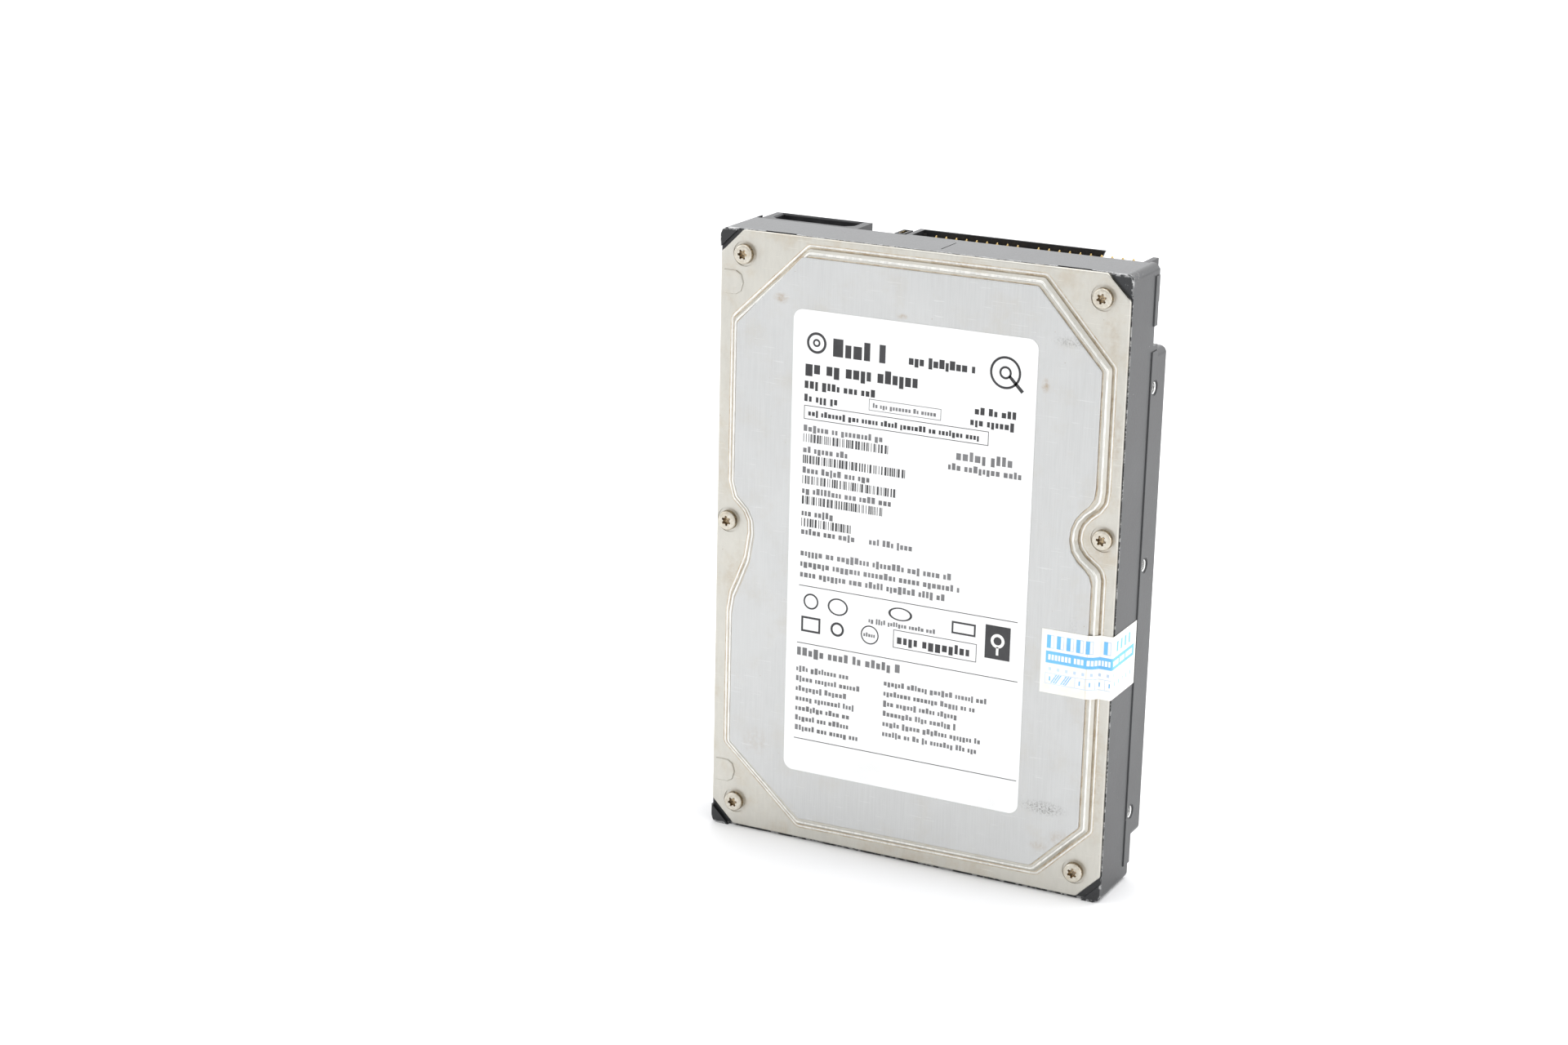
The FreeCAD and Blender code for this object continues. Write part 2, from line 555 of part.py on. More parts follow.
# ---------------------------------------------------------------- circuit board
board = new_body("circuit_board")
BOARD = [(-46.4, 136.4), (-46.4, 129.0), (-42.8, 128.2), (-42.8, 111.0), (-38.9, 106.6), (-38.9, 84.5), (-34.2, 79.8), (-13.5, 79.8),
         (24.5, 103.5), (38.6, 103.5), (42.8, 108.0), (42.8, 128.2), (46.4, 129.0), (46.4, 136.4)]
pad(board, "sheet", [poly(BOARD)], S["board_out"], S["board_in"])
pocket(board, "screw_holes", [circle(x, y, 1.3) for x, y in BOARD_BOSSES], 1.5, 2.7)
dress(board, "Fillet", "corners", 0.8, lambda e: is_upright(e, [(-46.4, 136.4), (46.4, 136.4)]))

board_screws = new_body("board_screws")
pad(board_screws, "shanks", [circle(x, y, 1.0) for x, y in BOARD_BOSSES], 1.5, 7.4)
pad(board_screws, "heads", [circle(x, y, 2.9) for x, y in BOARD_BOSSES], 0.4, S["board_out"])
dress(board_screws, "Fillet", "head_edges", 0.45, lambda e: is_level(e, 0.4) and e.Length > 15)
sk = new_sketch(board_screws, "drive_sketch", 1.25)
for i, (x, y) in enumerate(BOARD_BOSSES):
    lobes(x, y, 1.22, 0.86, 6, 11.0 + 13.0 * i)(sk)
drive = board_screws.newObject("PartDesign::Pocket", "drives")
drive.Profile = sk
drive.Length = 0.9
doc.recompute()

foam = new_body("board_foam")
pad(foam, "sheet", [poly([(-36.0, 104.5), (-36.0, 92.5), (-21.5, 92.5), (10.5, 107.5), (-6.5, 107.5), (-6.5, 109.6), (-22.0, 109.6), (-22.0, 104.5)])], 4.75, S["deck_low"])

# parts on the inner face of the board
BI = S["board_in"]
chip = new_body("controller_chip", 14.0, 121.0, BI)
pad(chip, "case", [rect(-10, -10, 10, 10)], 0.15, 1.75)
dress(chip, "Chamfer", "case_edge", 0.35, lambda e: is_level(e, 1.75))
sk = new_sketch(chip, "lead_sketch", 0)
rect(-9.5, -11.2, -9.2, -9.9)(sk)
rect(-9.5, 9.9, -9.2, 11.2)(sk)
lead = chip.newObject("PartDesign::Pad", "lead")
lead.Profile = sk
lead.Length = 0.9
doc.recompute()
pattern_linear(chip, "leads_across", [lead], (sk, ["H_Axis"]), 18.6, 25)
doc.recompute()
sk2 = new_sketch(chip, "lead_side_sketch", 0)
rect(-11.2, -9.5, -9.9, -9.2)(sk2)
rect(9.9, -9.5, 11.2, -9.2)(sk2)
lead2 = chip.newObject("PartDesign::Pad", "lead_side")
lead2.Profile = sk2
lead2.Length = 0.9
doc.recompute()
pattern_linear(chip, "leads_along", [lead2], (sk2, ["V_Axis"]), 18.6, 25)

driver = new_body("motor_driver_chip", -27.5, 97.5, BI)
pad(driver, "case", [rect(-5, -5, 5, 5)], 0.1, 1.5)
pad(driver, "terminals", [rect(-6.1 if s < 0 else 4.9, -4.4 + 1.1 * i, -4.9 if s < 0 else 6.1, -4.0 + 1.1 * i) for s in (-1, 1) for i in range(9)], 0, 0.7)
dress(driver, "Chamfer", "case_edge", 0.3, lambda e: is_level(e, 1.5))

memory = new_body("buffer_memory_chip", 2.0, 98.5, BI, 32.0)
pad(memory, "case", [rect(-9.2, -3.8, 9.2, 3.8)], 0.1, 1.15)
pad(memory, "terminals", [rect(-9.0 + 1.38 * i, -5.0 if s < 0 else 3.7, -8.6 + 1.38 * i, -3.7 if s < 0 else 5.0) for s in (-1, 1) for i in range(14)], 0, 0.6)
dress(memory, "Chamfer", "case_edge", 0.25, lambda e: is_level(e, 1.15))

firmware = new_body("firmware_chip", -18.0, 127.0, BI)
pad(firmware, "case", [rect(-2.5, -2.0, 2.5, 2.0)], 0.1, 1.55)
pad(firmware, "terminals", [rect(-2.1 + 1.27 * i, -3.0 if s < 0 else 1.9, -1.7 + 1.27 * i, -1.9 if s < 0 else 3.0) for s in (-1, 1) for i in range(4)], 0, 0.7)
dress(firmware, "Chamfer", "case_edge", 0.3, lambda e: is_level(e, 1.55))

crystal = new_body("clock_crystal", -7.0, 128.5, BI)
pad(crystal, "base", [rect(-5.6, -2.3, 5.6, 2.3)], 0, 0.5)
pad(crystal, "can", [rect(-5.2, -1.9, 5.2, 1.9)], 0.4, 2.2)
dress(crystal, "Fillet", "can_ends", 1.6, lambda e: is_upright(e, [(a, b) for a in (-5.2, 5.2) for b in (-1.9, 1.9)]))

inductor = new_body("power_inductor", -36.0, 118.0, BI)
pad(inductor, "foot", [rect(-3.0, -3.0, 3.0, 3.0)], 0, 0.5)
pad(inductor, "drum", [circle(0, 0, 2.7)], 0.4, 2.3)
pocket(inductor, "winding_neck", [circle(0, 0, 2.8), circle(0, 0, 2.3)], 0.8, 1.9)

CAPS = [(-30.5, 120.5), (-30.5, 124.0), (-27.0, 120.5), (-12.0, 121.5), (-12.0, 124.0), (0.5, 119.0), (0.5, 121.8), (0.5, 124.6),
        (28.5, 118.0), (28.5, 121.0), (28.5, 124.0), (-33.5, 88.0), (-32.2, 84.0), (-19.0, 88.5), (-16.0, 92.0), (12.0, 106.5), (18.5, 106.0)]
caps = new_body("board_passives")
pad(caps, "blocks", [rect(x - 1.0, y - 0.62, x + 1.0, y + 0.62) for x, y in CAPS], BI, 3.85)
dress(caps, "Fillet", "block_edges", 0.12, lambda e: is_level(e, 3.85))
RES = [(-22.5, 121.0), (-22.5, 123.0), (-22.5, 125.0), (-22.5, 131.0), (-12.0, 132.5), (-6.0, 123.0), (-6.0, 125.0), (32.5, 118.0),
       (32.5, 120.0), (32.5, 122.0), (-35.0, 99.5), (-35.0, 101.5), (-20.0, 84.5), (-17.5, 84.5), (10.5, 108.6), (20.5, 107.9), (29.0, 114.5)]
pad(caps, "resistors", [rect(x - 0.8, y - 0.4, x + 0.8, y + 0.4) for x, y in RES], BI, 3.05)

# ---------------------------------------------------------------- data connector
SB = S["shroud_back"]
ide = new_body("data_connector_shroud")
pad(ide, "block", [rect(-10.6, SB, 48.3, LEN - 0.7)], 0, 7.7)
pad(ide, "back_wall_rise", [rect(-10.6, LEN - 1.0, 35.3, LEN)], 0, 0.7)
pad(ide, "left_end_rise", [rect(-10.6, LEN - 1.0, -9.3, LEN)], 0, 7.7)
pad(ide, "right_end_rise", [rect(47.0, LEN - 1.0, 48.3, LEN)], 1.4, 7.7)
opening = new_sketch(ide, "opening_sketch", LEN + 1, "XZ_Plane")
opening.AttachmentOffset = Placement(Vector(0, 0, -(LEN.value + 1)), Rotation())
opening.setExpression(".AttachmentOffset.Base.z", (-(LEN + 1)).text)
poly([(-9.3, 1.3), (-8.7, 0.7), (46.4, 0.7), (47.0, 1.3), (47.0, 7.0), (21.1, 7.0), (21.1, 7.9), (16.3, 7.9), (16.3, 7.0), (-9.3, 7.0)])(opening)
doc.recompute()
vol = ide.Tip.Shape.Volume
cut = ide.newObject("PartDesign::Pocket", "opening")
cut.Profile = opening
cut.Length = 9.0
doc.recompute()
if not cut.Shape.Volume < vol - 100:
    cut.Reversed = True
    doc.recompute()
print("data opening", vol, cut.Shape.Volume)
pocket(ide, "back_wall_step", [poly([(34.2, LEN - 2.6), (48.4, LEN - 2.6), (48.4, LEN + 1), (35.4, LEN + 1), (35.3, LEN)])], -0.1, 0.75)
pocket(ide, "back_corner_step", [rect(46.9, LEN - 2.6, 48.4, LEN + 1)], -0.1, 1.4)
FP, PP, PS = S["first_pin_x"], S["pin_pitch"], S["pin_size"]
ROWS = (2.56, 5.10)


for k, level in enumerate(ROWS):
    cols = [i for i in range(20) if not (k == 0 and i == 9)]
    pocket(ide, "pin_seats_%d" % (k + 1),
           [rect(FP + PP * i - PS / 2 - 0.02, SB - 0.5, FP + PP * i + PS / 2 + 0.02, 139.5) for i in cols],
           level - 0.34, level + 0.34)

pins = new_body("data_connector_pins")


def bent_pin(level, out):
    """Outline of one right-angle pin, seen from the side: straight out of the shroud, then down to the board."""
    return [(out, BI - 1.3), (out + 0.64, BI - 1.3), (out + 0.64, level - 0.32), (145.75, level - 0.32), (146.0, level - 0.16),
            (146.0, level + 0.16), (145.75, level + 0.32), (out, level + 0.32)]


def pin_pad(name, column, outlines):
    sk = pins.newObject("Sketcher::SketchObject", name + "_sketch")
    sk.AttachmentSupport = [(origin_plane(pins, "YZ_Plane"), "")]
    sk.MapMode = "FlatFace"
    off = FP + PP * column - PS / 2
    sk.AttachmentOffset = Placement(Vector(0, 0, off.value), Rotation())
    sk.setExpression(".AttachmentOffset.Base.z", off.text)
    for o in outlines:
        poly(o)(sk)
    f = pins.newObject("PartDesign::Pad", name)
    f.Profile = sk
    f.Length = PS.value
    f.setExpression("Length", PS.text)
    doc.recompute()
    return sk, f


LOW, HIGH = bent_pin(ROWS[0], 135.4), bent_pin(ROWS[1], 133.4)
sk, f = pin_pad("first_columns", 0, [LOW, HIGH])
pattern_linear(pins, "columns_a", [f], (sk, ["N_Axis"]), PP * 8, 9)
doc.recompute()
pin_pad("key_column", 9, [HIGH])
sk, f = pin_pad("last_columns", 10, [LOW, HIGH])
pattern_linear(pins, "columns_b", [f], (sk, ["N_Axis"]), PP * 9, 10)
doc.recompute()
print("pins solids", len(pins.Shape.Solids))
pocket(board, "pin_holes", [rect(FP + PP * i - 0.36, y - 0.04, FP + PP * i + 0.36, y + 0.68) for i in range(20) for y in (135.4, 133.4)
                            if not (i == 9 and y > 134)], 1.5, 2.7)
pocket(board, "pin_notches", [rect(FP + PP * i - 0.36, 136.0, FP + PP * i + 0.36, 136.6) for i in range(20) if i != 9], 2.2, 2.7)

# ---------------------------------------------------------------- power connector and jumpers
power = new_body("power_connector_shroud")
pad(power, "block", [rect(-47.8, SB, -22.9, LEN)], 0, 8.3)
sk = new_sketch(power, "opening_sketch", 0, "XZ_Plane")
sk.AttachmentOffset = Placement(Vector(0, 0, -(LEN.value + 1)), Rotation())
sk.setExpression(".AttachmentOffset.Base.z", (-(LEN + 1)).text)
poly([(-45.8, 0.6), (-25.3, 0.6), (-25.3, 5.4), (-26.9, 7.0), (-44.2, 7.0), (-45.8, 5.4)])(sk)
cut = power.newObject("PartDesign::Pocket", "opening")
cut.Profile = sk
cut.Length = 9.5
doc.recompute()
if not cut.Shape.Volume < power.Shape.Volume + 1 or cut.Shape.BoundBox.YMax < 146.9 or cut.Shape.Volume > 24.9 * 10 * 8.3 - 800:
    cut.Reversed = True
    doc.recompute()
print("power opening", 24.9 * 10 * 8.3, cut.Shape.Volume)
POWER_X = [-35.55 + 5.08 * (i - 1.5) for i in range(4)]
pocket(power, "pin_seats", [rect(x - 1.07, SB - 0.5, x + 1.07, 139.5) for x in POWER_X], 2.68, 4.82)
dress(power, "Chamfer", "mouth_edges", 0.35, lambda e: abs(e.BoundBox.YMin - 147) < 1e-3 and abs(e.BoundBox.YMax - 147) < 1e-3
      and e.BoundBox.XMin > -45.9 and e.BoundBox.XMax < -25.2)

power_pins = new_body("power_connector_pins")
pad(power_pins, "shafts", [rect(x - 1.05, 134.4, x + 1.05, 145.2) for x in POWER_X], 2.7, 4.8)
dress(power_pins, "Fillet", "shaft_edges", 0.95, lambda e: len(ends(e)) == 2 and abs(ends(e)[0].y - ends(e)[1].y) > 5)
dress(power_pins, "Chamfer", "tips", 0.35, lambda e: abs(e.BoundBox.YMin - 145.2) < 1e-3 and abs(e.BoundBox.YMax - 145.2) < 1e-3)
pad(power_pins, "tails", [rect(x - 0.6, 134.5, x + 0.6, 135.7) for x in POWER_X], 0.9, 3.6)
pocket(board, "power_holes", [rect(x - 0.66, 134.44, x + 0.66, 135.76) for x in POWER_X], 1.5, 2.7)

JX = [-12.4, -14.94, -17.48, -20.02]
JZ = (4.1, 6.64)
jumper_header = new_body("jumper_header")
pad(jumper_header, "block", [rect(-21.4, 137.2, -11.1, 140.0)], 2.75, 7.95)
pocket(jumper_header, "pin_seats_a", [rect(x - 0.34, 137.0, x + 0.34, 140.5) for x in JX], JZ[0] - 0.34, JZ[0] + 0.34)
pocket(jumper_header, "pin_seats_b", [rect(x - 0.34, 137.0, x + 0.34, 140.5) for x in JX], JZ[1] - 0.34, JZ[1] + 0.34)
jumper_pins = new_body("jumper_pins")


def jumper_pin_pad(name, outlines):
    sk = new_sketch(jumper_pins, name + "_sketch", JX[3] - 0.32, "YZ_Plane")
    for o in outlines:
        poly(o)(sk)
    f = jumper_pins.newObject("PartDesign::Pad", name)
    f.Profile = sk
    f.Length = 0.64
    doc.recompute()
    return sk, f


def bent(level, out):
    return [(out, BI - 1.3), (out + 0.64, BI - 1.3), (out + 0.64, level - 0.32), (145.4, level - 0.32), (145.6, level - 0.16),
            (145.6, level + 0.16), (145.4, level + 0.32), (out, level + 0.32)]


sk, f = jumper_pin_pad("rows", [bent(JZ[0], 135.4), bent(JZ[1], 133.4)])
pattern_linear(jumper_pins, "columns", [f], (sk, ["N_Axis"]), 7.62, 4)
doc.recompute()
pocket(board, "jumper_holes", [rect(x - 0.36, y - 0.04, x + 0.36, y + 0.68) for x in JX for y in (135.4, 133.4)], 1.5, 2.7)

shunt = new_body("jumper_shunt")
pad(shunt, "block", [rect(-13.6, 140.9, -11.2, 147.0)], 2.87, 7.87)
pocket(shunt, "bore_low", [rect(-12.4 - 0.4, 140.5, -12.4 + 0.4, 147.5)], JZ[0] - 0.4, JZ[0] + 0.4)
pocket(shunt, "bore_high", [rect(-12.4 - 0.4, 140.5, -12.4 + 0.4, 147.5)], JZ[1] - 0.4, JZ[1] + 0.4)
clip = new_body("shunt_contact")
pad(clip, "bridge", [rect(-13.05, 146.0, -12.86, 146.9), rect(-11.94, 146.0, -11.75, 146.9)], JZ[0] - 0.6, JZ[1] + 0.6)
pocket(shunt, "contact_slot", [rect(-13.1, 145.9, -11.7, 147.5)], JZ[0] - 0.65, JZ[1] + 0.65)

# ---------------------------------------------------------------- spindle motor
SY = S["spindle_y"]
bracket = new_body("motor_bracket", 0, SY)
turned(bracket, "bracket", [(0, 3.3), (4.6, 3.3), (4.6, 2.9), (15.9, 2.9), (16.5, 3.5), (16.5, 5.28), (13.95, 5.28), (13.95, 9.3),
                            (9.4, 9.3), (9.4, 10.1), (7.3, 10.1), (7.3, 10.98), (6.05, 10.98), (6.05, 3.9), (0, 3.9)])
BS = [(15.0 * math.cos(math.radians(a)), 15.0 * math.sin(math.radians(a))) for a in (70, 190, 310)]
pocket(bracket, "screw_holes", [circle(x, y, 0.85) for x, y in BS], 2.5, 5.5)
pocket(base, "bracket_screw_holes", [circle(x, SY + y, 0.85) for x, y in BS], 5.0, 8.0)
bracket_screws = new_body("bracket_screws", 0, SY)
pad(bracket_screws, "shanks", [circle(x, y, 0.8) for x, y in BS], 2.8, 7.8)
pad(bracket_screws, "heads", [circle(x, y, 1.4) for x, y in BS], 2.2, 2.9)
dress(bracket_screws, "Fillet", "head_edges", 0.3, lambda e: is_level(e, 2.2))
pocket(bracket_screws, "drives", [lobes(x, y, 0.75, 0.52) for x, y in BS], 2.1, 2.6)

cap = new_body("bearing_cap", 0, SY)
turned(cap, "cap", [(0, 2.75), (3.3, 2.75), (3.5, 2.6), (4.2, 2.6), (4.5, 2.85), (4.5, 3.28), (0, 3.28)])
sleeve = new_body("bearing_sleeve", 0, SY)
shr = S["shaft_r"]
turned(sleeve, "sleeve", [(0, 3.92), (6.0, 3.92), (6.0, 16.0), (5.4, 16.4), (shr + S["bearing_gap"], 16.4), (shr + S["bearing_gap"], 4.7), (0, 4.7)])
shaft = new_body("spindle_shaft", 0, SY)
turned(shaft, "shaft", [(0, 4.78), (2.2, 4.78), (shr, 5.1), (shr, 19.2), (2.2, 19.5), (0, 19.5)])
hub = new_body("rotor_hub", 0, SY)
hb, sl = S["hub_r"], S["shoulder_level"]
turned(hub, "hub", [(shr, 17.0), (11.3, 17.0), (11.3, 10.4), (16.3, 10.4), (16.3, sl - 0.3), (16.0, sl), (hb, sl), (hb, 18.8), (hb - 0.3, 19.1), (shr, 19.1)])
CS = [(8.4 * math.cos(math.radians(60 * i)), 8.4 * math.sin(math.radians(60 * i))) for i in range(6)]
pocket(hub, "clamp_holes", [circle(x, y, 0.85) for x, y in CS], 16.9, 19.2)
magnet = new_body("rotor_magnet", 0, SY)
turned(magnet, "ring", [(10.25, 10.6), (11.3, 10.6), (11.3, 15.2), (10.25, 15.2)])
core = new_body("stator_core", 0, SY)
pad(core, "yoke_ring", [circle(0, 0, 7.5), circle(0, 0, 6.05)], 11.0, 13.8)
sk = new_sketch(core, "tooth_sketch", 11.0)
poly([(7.2, -0.7), (8.95, -0.7), (8.95, -1.9), (9.3, -1.85), (9.62, 0), (9.3, 1.85), (8.95, 1.9), (8.95, 0.7), (7.2, 0.7)])(sk)
tooth = core.newObject("PartDesign::Pad", "tooth")
tooth.Profile = sk
tooth.Length = 2.8
doc.recompute()
pattern_polar(core, "teeth", [tooth], (sk, ["N_Axis"]), 9)
coils = new_body("stator_coils", 0, SY)
sk = new_sketch(coils, "coil_sketch", 0, "YZ_Plane")
sk.AttachmentOffset = Placement(Vector(0, 0, 7.62), Rotation())
poly([(-1.5, 10.3), (1.5, 10.3), (1.7, 10.5), (1.7, 14.3), (1.5, 14.5), (-1.5, 14.5), (-1.7, 14.3), (-1.7, 10.5)])(sk)
poly([(-0.75, 10.95), (0.75, 10.95), (0.75, 13.85), (-0.75, 13.85)])(sk)
coil = coils.newObject("PartDesign::Pad", "coil")
coil.Profile = sk
coil.Length = 1.28
doc.recompute()
pattern_polar(coils, "coils", [coil], (origin_plane(coils, "Z_Axis"), [""]), 9)
pt, pr = S["platter_thick"], S["platter_r"]
lower = new_body("platter_lower", 0, SY)
turned(lower, "disc", [(hb + 0.04, sl), (pr, sl), (pr, sl + pt), (hb + 0.04, sl + pt)])
spacer = new_body("platter_spacer", 0, SY)
sp = S["spacer_thick"]
turned(spacer, "ring", [(hb + 0.04, sl + pt), (15.6, sl + pt), (15.6, sl + pt + sp), (hb + 0.04, sl + pt + sp)])
upper = new_body("platter_upper", 0, SY)
turned(upper, "disc", [(hb + 0.04, sl + pt + sp), (pr, sl + pt + sp), (pr, sl + pt * 2 + sp), (hb + 0.04, sl + pt * 2 + sp)])
top = sl + pt * 2 + sp
clamp = new_body("platter_clamp", 0, SY)
turned(clamp, "clamp", [(5.0, 19.1), (12.7, 19.1), (12.7, top + 0.2), (13.4, top), (14.8, top), (15.4, top + 0.4), (15.4, 17.6), (13.9, 19.9), (5.0, 19.9)])
pocket(clamp, "screw_holes", [circle(x, y, 0.85) for x, y in CS], 19.0, 20.0)
clamp_screws = new_body("clamp_screws", 0, SY)
pad(clamp_screws, "shanks", [circle(x, y, 0.8) for x, y in CS], 17.2, 20.0)
pad(clamp_screws, "heads", [circle(x, y, 1.5) for x, y in CS], 19.9, 21.0)
dress(clamp_screws, "Fillet", "head_edges", 0.35, lambda e: is_level(e, 21.0))
pocket(clamp_screws, "drives", [lobes(x, y, 0.85, 0.6) for x, y in CS], 20.4, 21.1)

# ---------------------------------------------------------------- actuator
PX, PY, TURN = S["pivot_x"], S["pivot_y"], -99.8
post = new_body("pivot_post", PX, PY)
turned(post, "post", [(0, 9.1), (5.2, 9.1), (5.2, 9.3), (3.0, 9.3), (3.0, 21.6), (2.7, 21.9), (0, 21.9)])
bearing = new_body("pivot_bearing", PX, PY)
turned(bearing, "cartridge", [(3.04, 9.5), (6.0, 9.5), (6.0, 19.6), (3.04, 19.6)])
arm = new_body("actuator_arm", PX, PY, 0, TURN)
pad(arm, "barrel", [circle(0, 0, 8.0)], 9.6, 19.2)
ARM = [(0, -7.4), (9.0, -6.4), (31.0, -2.9), (33.0, -2.2), (33.0, 2.2), (31.0, 2.9), (9.0, 6.4), (0, 7.4)]
SLOT = [(11.5, -3.6), (26.0, -1.6), (26.0, 1.6), (11.5, 3.6)]
for name, z0, z1 in (("arm_low", 9.6, 10.6), ("arm_mid", 13.6, 14.67), ("arm_high", 17.75, 18.75)):
    pad(arm, name, [poly(ARM), poly(SLOT)], z0, z1)
pad(arm, "coil_fork", [poly([(-1, 7.3), (-9.5, 8.0), (-28.0, 13.2), (-28.0, 10.75), (-10.6, 5.15), (-1, 3.4)]),
                       poly([(-1, -3.4), (-10.6, -5.15), (-28.0, -10.75), (-28.0, -13.2), (-9.5, -8.0), (-1, -7.3)])], 13.2, 15.2)
pocket(arm, "bearing_bore", [circle(0, 0, 6.0)], 9.0, 19.8)
coil_body = new_body("voice_coil", PX, PY, 0, TURN)
pad(coil_body, "winding", [poly([(-11.0, -4.85), (-27.4, -10.35), (-27.4, 10.35), (-11.0, 4.85)]),
                           poly([(-14.2, -2.5), (-14.2, 2.5), (-24.2, 6.1), (-24.2, -6.1)])], S["coil_low"], S["coil_high"])
dress(coil_body, "Fillet", "winding_corners", 1.2, lambda e: is_upright(e, [(-14.2, -2.5), (-14.2, 2.5), (-24.2, 6.1), (-24.2, -6.1)]))
susp = new_body("suspensions", PX, PY, 0, TURN)
SUSP = [(30.5, -1.9), (36.0, -1.7), (48.6, -0.5), (51.0, -0.5), (51.0, 0.5), (48.6, 0.5), (36.0, 1.7), (30.5, 1.9)]
for i, (z0, z1) in enumerate(((10.6, 10.85), (13.35, 13.6), (14.67, 14.92), (17.5, 17.75))):
    pad(susp, "beam_%d" % (i + 1), [poly(SUSP)], z0, z1)
sliders = new_body("head_sliders", PX, PY, 0, TURN)
for i, (z0, z1) in enumerate(((10.87, 11.55), (12.92, 13.33), (14.94, 15.35), (16.72, 17.48))):
    pad(sliders, "slider_%d" % (i + 1), [rect(49.4, -0.5, 50.65, 0.5)], z0, z1)
preamp = new_body("preamp_chip", PX, PY, 0, TURN)
pad(preamp, "case", [rect(-2.2, -8.9, 2.0, -8.02)], 11.6, 16.2)
dress(preamp, "Chamfer", "case_edges", 0.15, lambda e: len(ends(e)) == 2 and abs(e.BoundBox.YMin + 8.9) < 1e-3 and abs(e.BoundBox.YMax + 8.9) < 1e-3)

# flex circuit: ribbon from the barrel side to the head connector
flex = new_body("flex_circuit", PX, PY, 0, 0)
RIB = [(-9.15, 3.4), (-9.6, -0.6), (-10.6, -2.4), (-12.9, -3.0), (-16.5, -2.2), (-20.5, -0.2), (-24.2, 2.8), (-27.4, 6.2), (-29.8, 9.2), (-31.0, 11.86)]


def ribbon(points, t):
    """Closed outline of a thin strip that follows the points."""
    left, right = [], []
    for i, p in enumerate(points):
        a = points[max(i - 1, 0)]
        b = points[min(i + 1, len(points) - 1)]
        dx, dy = b[0] - a[0], b[1] - a[1]
        n = math.hypot(dx, dy)
        left.append((p[0] - dy / n * t / 2, p[1] + dx / n * t / 2))
        right.append((p[0] + dy / n * t / 2, p[1] - dx / n * t / 2))
    return left + right[::-1]


pad(flex, "ribbon", [poly(ribbon(RIB, 0.25))], 11.2, 17.0)
head_connector = new_body("head_connector")
pad(head_connector, "body", [rect(-19.4, 112.6, -6.6, 119.4)], 2.8, 9.6)
pad(head_connector, "flange", [rect(-21.4, 110.9, -4.6, 121.1)], S["deck_floor"], 9.6)
pad(head_connector, "riser", [rect(-4.85, 111.4, -3.25, 117.4)], 9.0, 17.4)
pad(head_connector, "riser_foot", [rect(-8.0, 111.4, -3.25, 117.4)], 8.7, 9.6)

# ---------------------------------------------------------------- voice coil motor
def polar(a, r):
    return (27.0 + r * math.cos(math.radians(a)), 99.5 + r * math.sin(math.radians(a)))


YOKE = [polar(a, r) for a, r in ((36.0, 21.9), (46.0, 24.5), (55.0, 29.0), (66.0, 31.0), (84.0, 33.0), (88.0, 35.6), (104.0, 35.6), (108.0, 33.0),
                                 (122.0, 31.0), (134.0, 28.0), (146.0, 23.4), (157.0, 22.4), (157.0, 16.8), (144.0, 12.5), (128.0, 9.6), (112.0, 9.3), (96.0, 9.3),
                                 (80.0, 9.3), (62.0, 9.6), (48.0, 12.5), (36.0, 17.2))]
yoke_low = new_body("lower_yoke")
pad(yoke_low, "plate", [poly(YOKE)], 9.2, 11.0)
yoke_high = new_body("upper_yoke")
pad(yoke_high, "plate", [poly(YOKE)], 17.4, 19.2)
pocket(yoke_high, "screw_holes", [circle(x, y, 1.1) for x, y in VCM_XY], 17.3, 19.3)
posts = new_body("yoke_posts")
pad(posts, "posts", [circle(x, y, 1.9) for x, y in VCM_XY], 11.0, 17.4)
pocket(posts, "bores", [circle(x, y, 1.0) for x, y in VCM_XY], 12.0, 17.4)
yoke_screws = new_body("yoke_screws")
pad(yoke_screws, "shanks", [circle(x, y, 0.95) for x, y in VCM_XY], 12.5, 19.3)
pad(yoke_screws, "heads", [circle(x, y, 2.0) for x, y in VCM_XY], 19.2, 20.6)
dress(yoke_screws, "Fillet", "head_edges", 0.4, lambda e: is_level(e, 20.6))
pocket(yoke_screws, "drives", [lobes(x, y, 1.1, 0.78) for x, y in VCM_XY], 19.9, 20.7)
MAG = [polar(a, 26.0) for a in (62, 72, 84, 96, 108, 120, 130)] + [polar(a, 12.4) for a in (130, 118, 106, 96, 86, 74, 62)]
magnets = new_body("voice_magnets")
pad(magnets, "lower_magnet", [poly(MAG)], 11.0, 12.6)
pad(magnets, "upper_magnet", [poly(MAG)], 15.8, 17.4)
dress(magnets, "Chamfer", "magnet_edges", 0.25, lambda e: is_level(e, 12.6) or is_level(e, 15.8))
STOPS = [polar(38.4, 15.0), polar(153.3, 15.0)]
stops = new_body("crash_stops")
pad(stops, "bumpers", [circle(x, y, 1.45) for x, y in STOPS], 12.0, 16.4)
pad(stops, "stems", [circle(x, y, 1.0) for x, y in STOPS], S["deck_floor"], 12.2)
pocket(yoke_low, "stop_holes", [circle(x, y, 1.03) for x, y in STOPS], 9.1, 11.1)
dress(stops, "Fillet", "bumper_edges", 0.3, lambda e: is_level(e, 16.4))

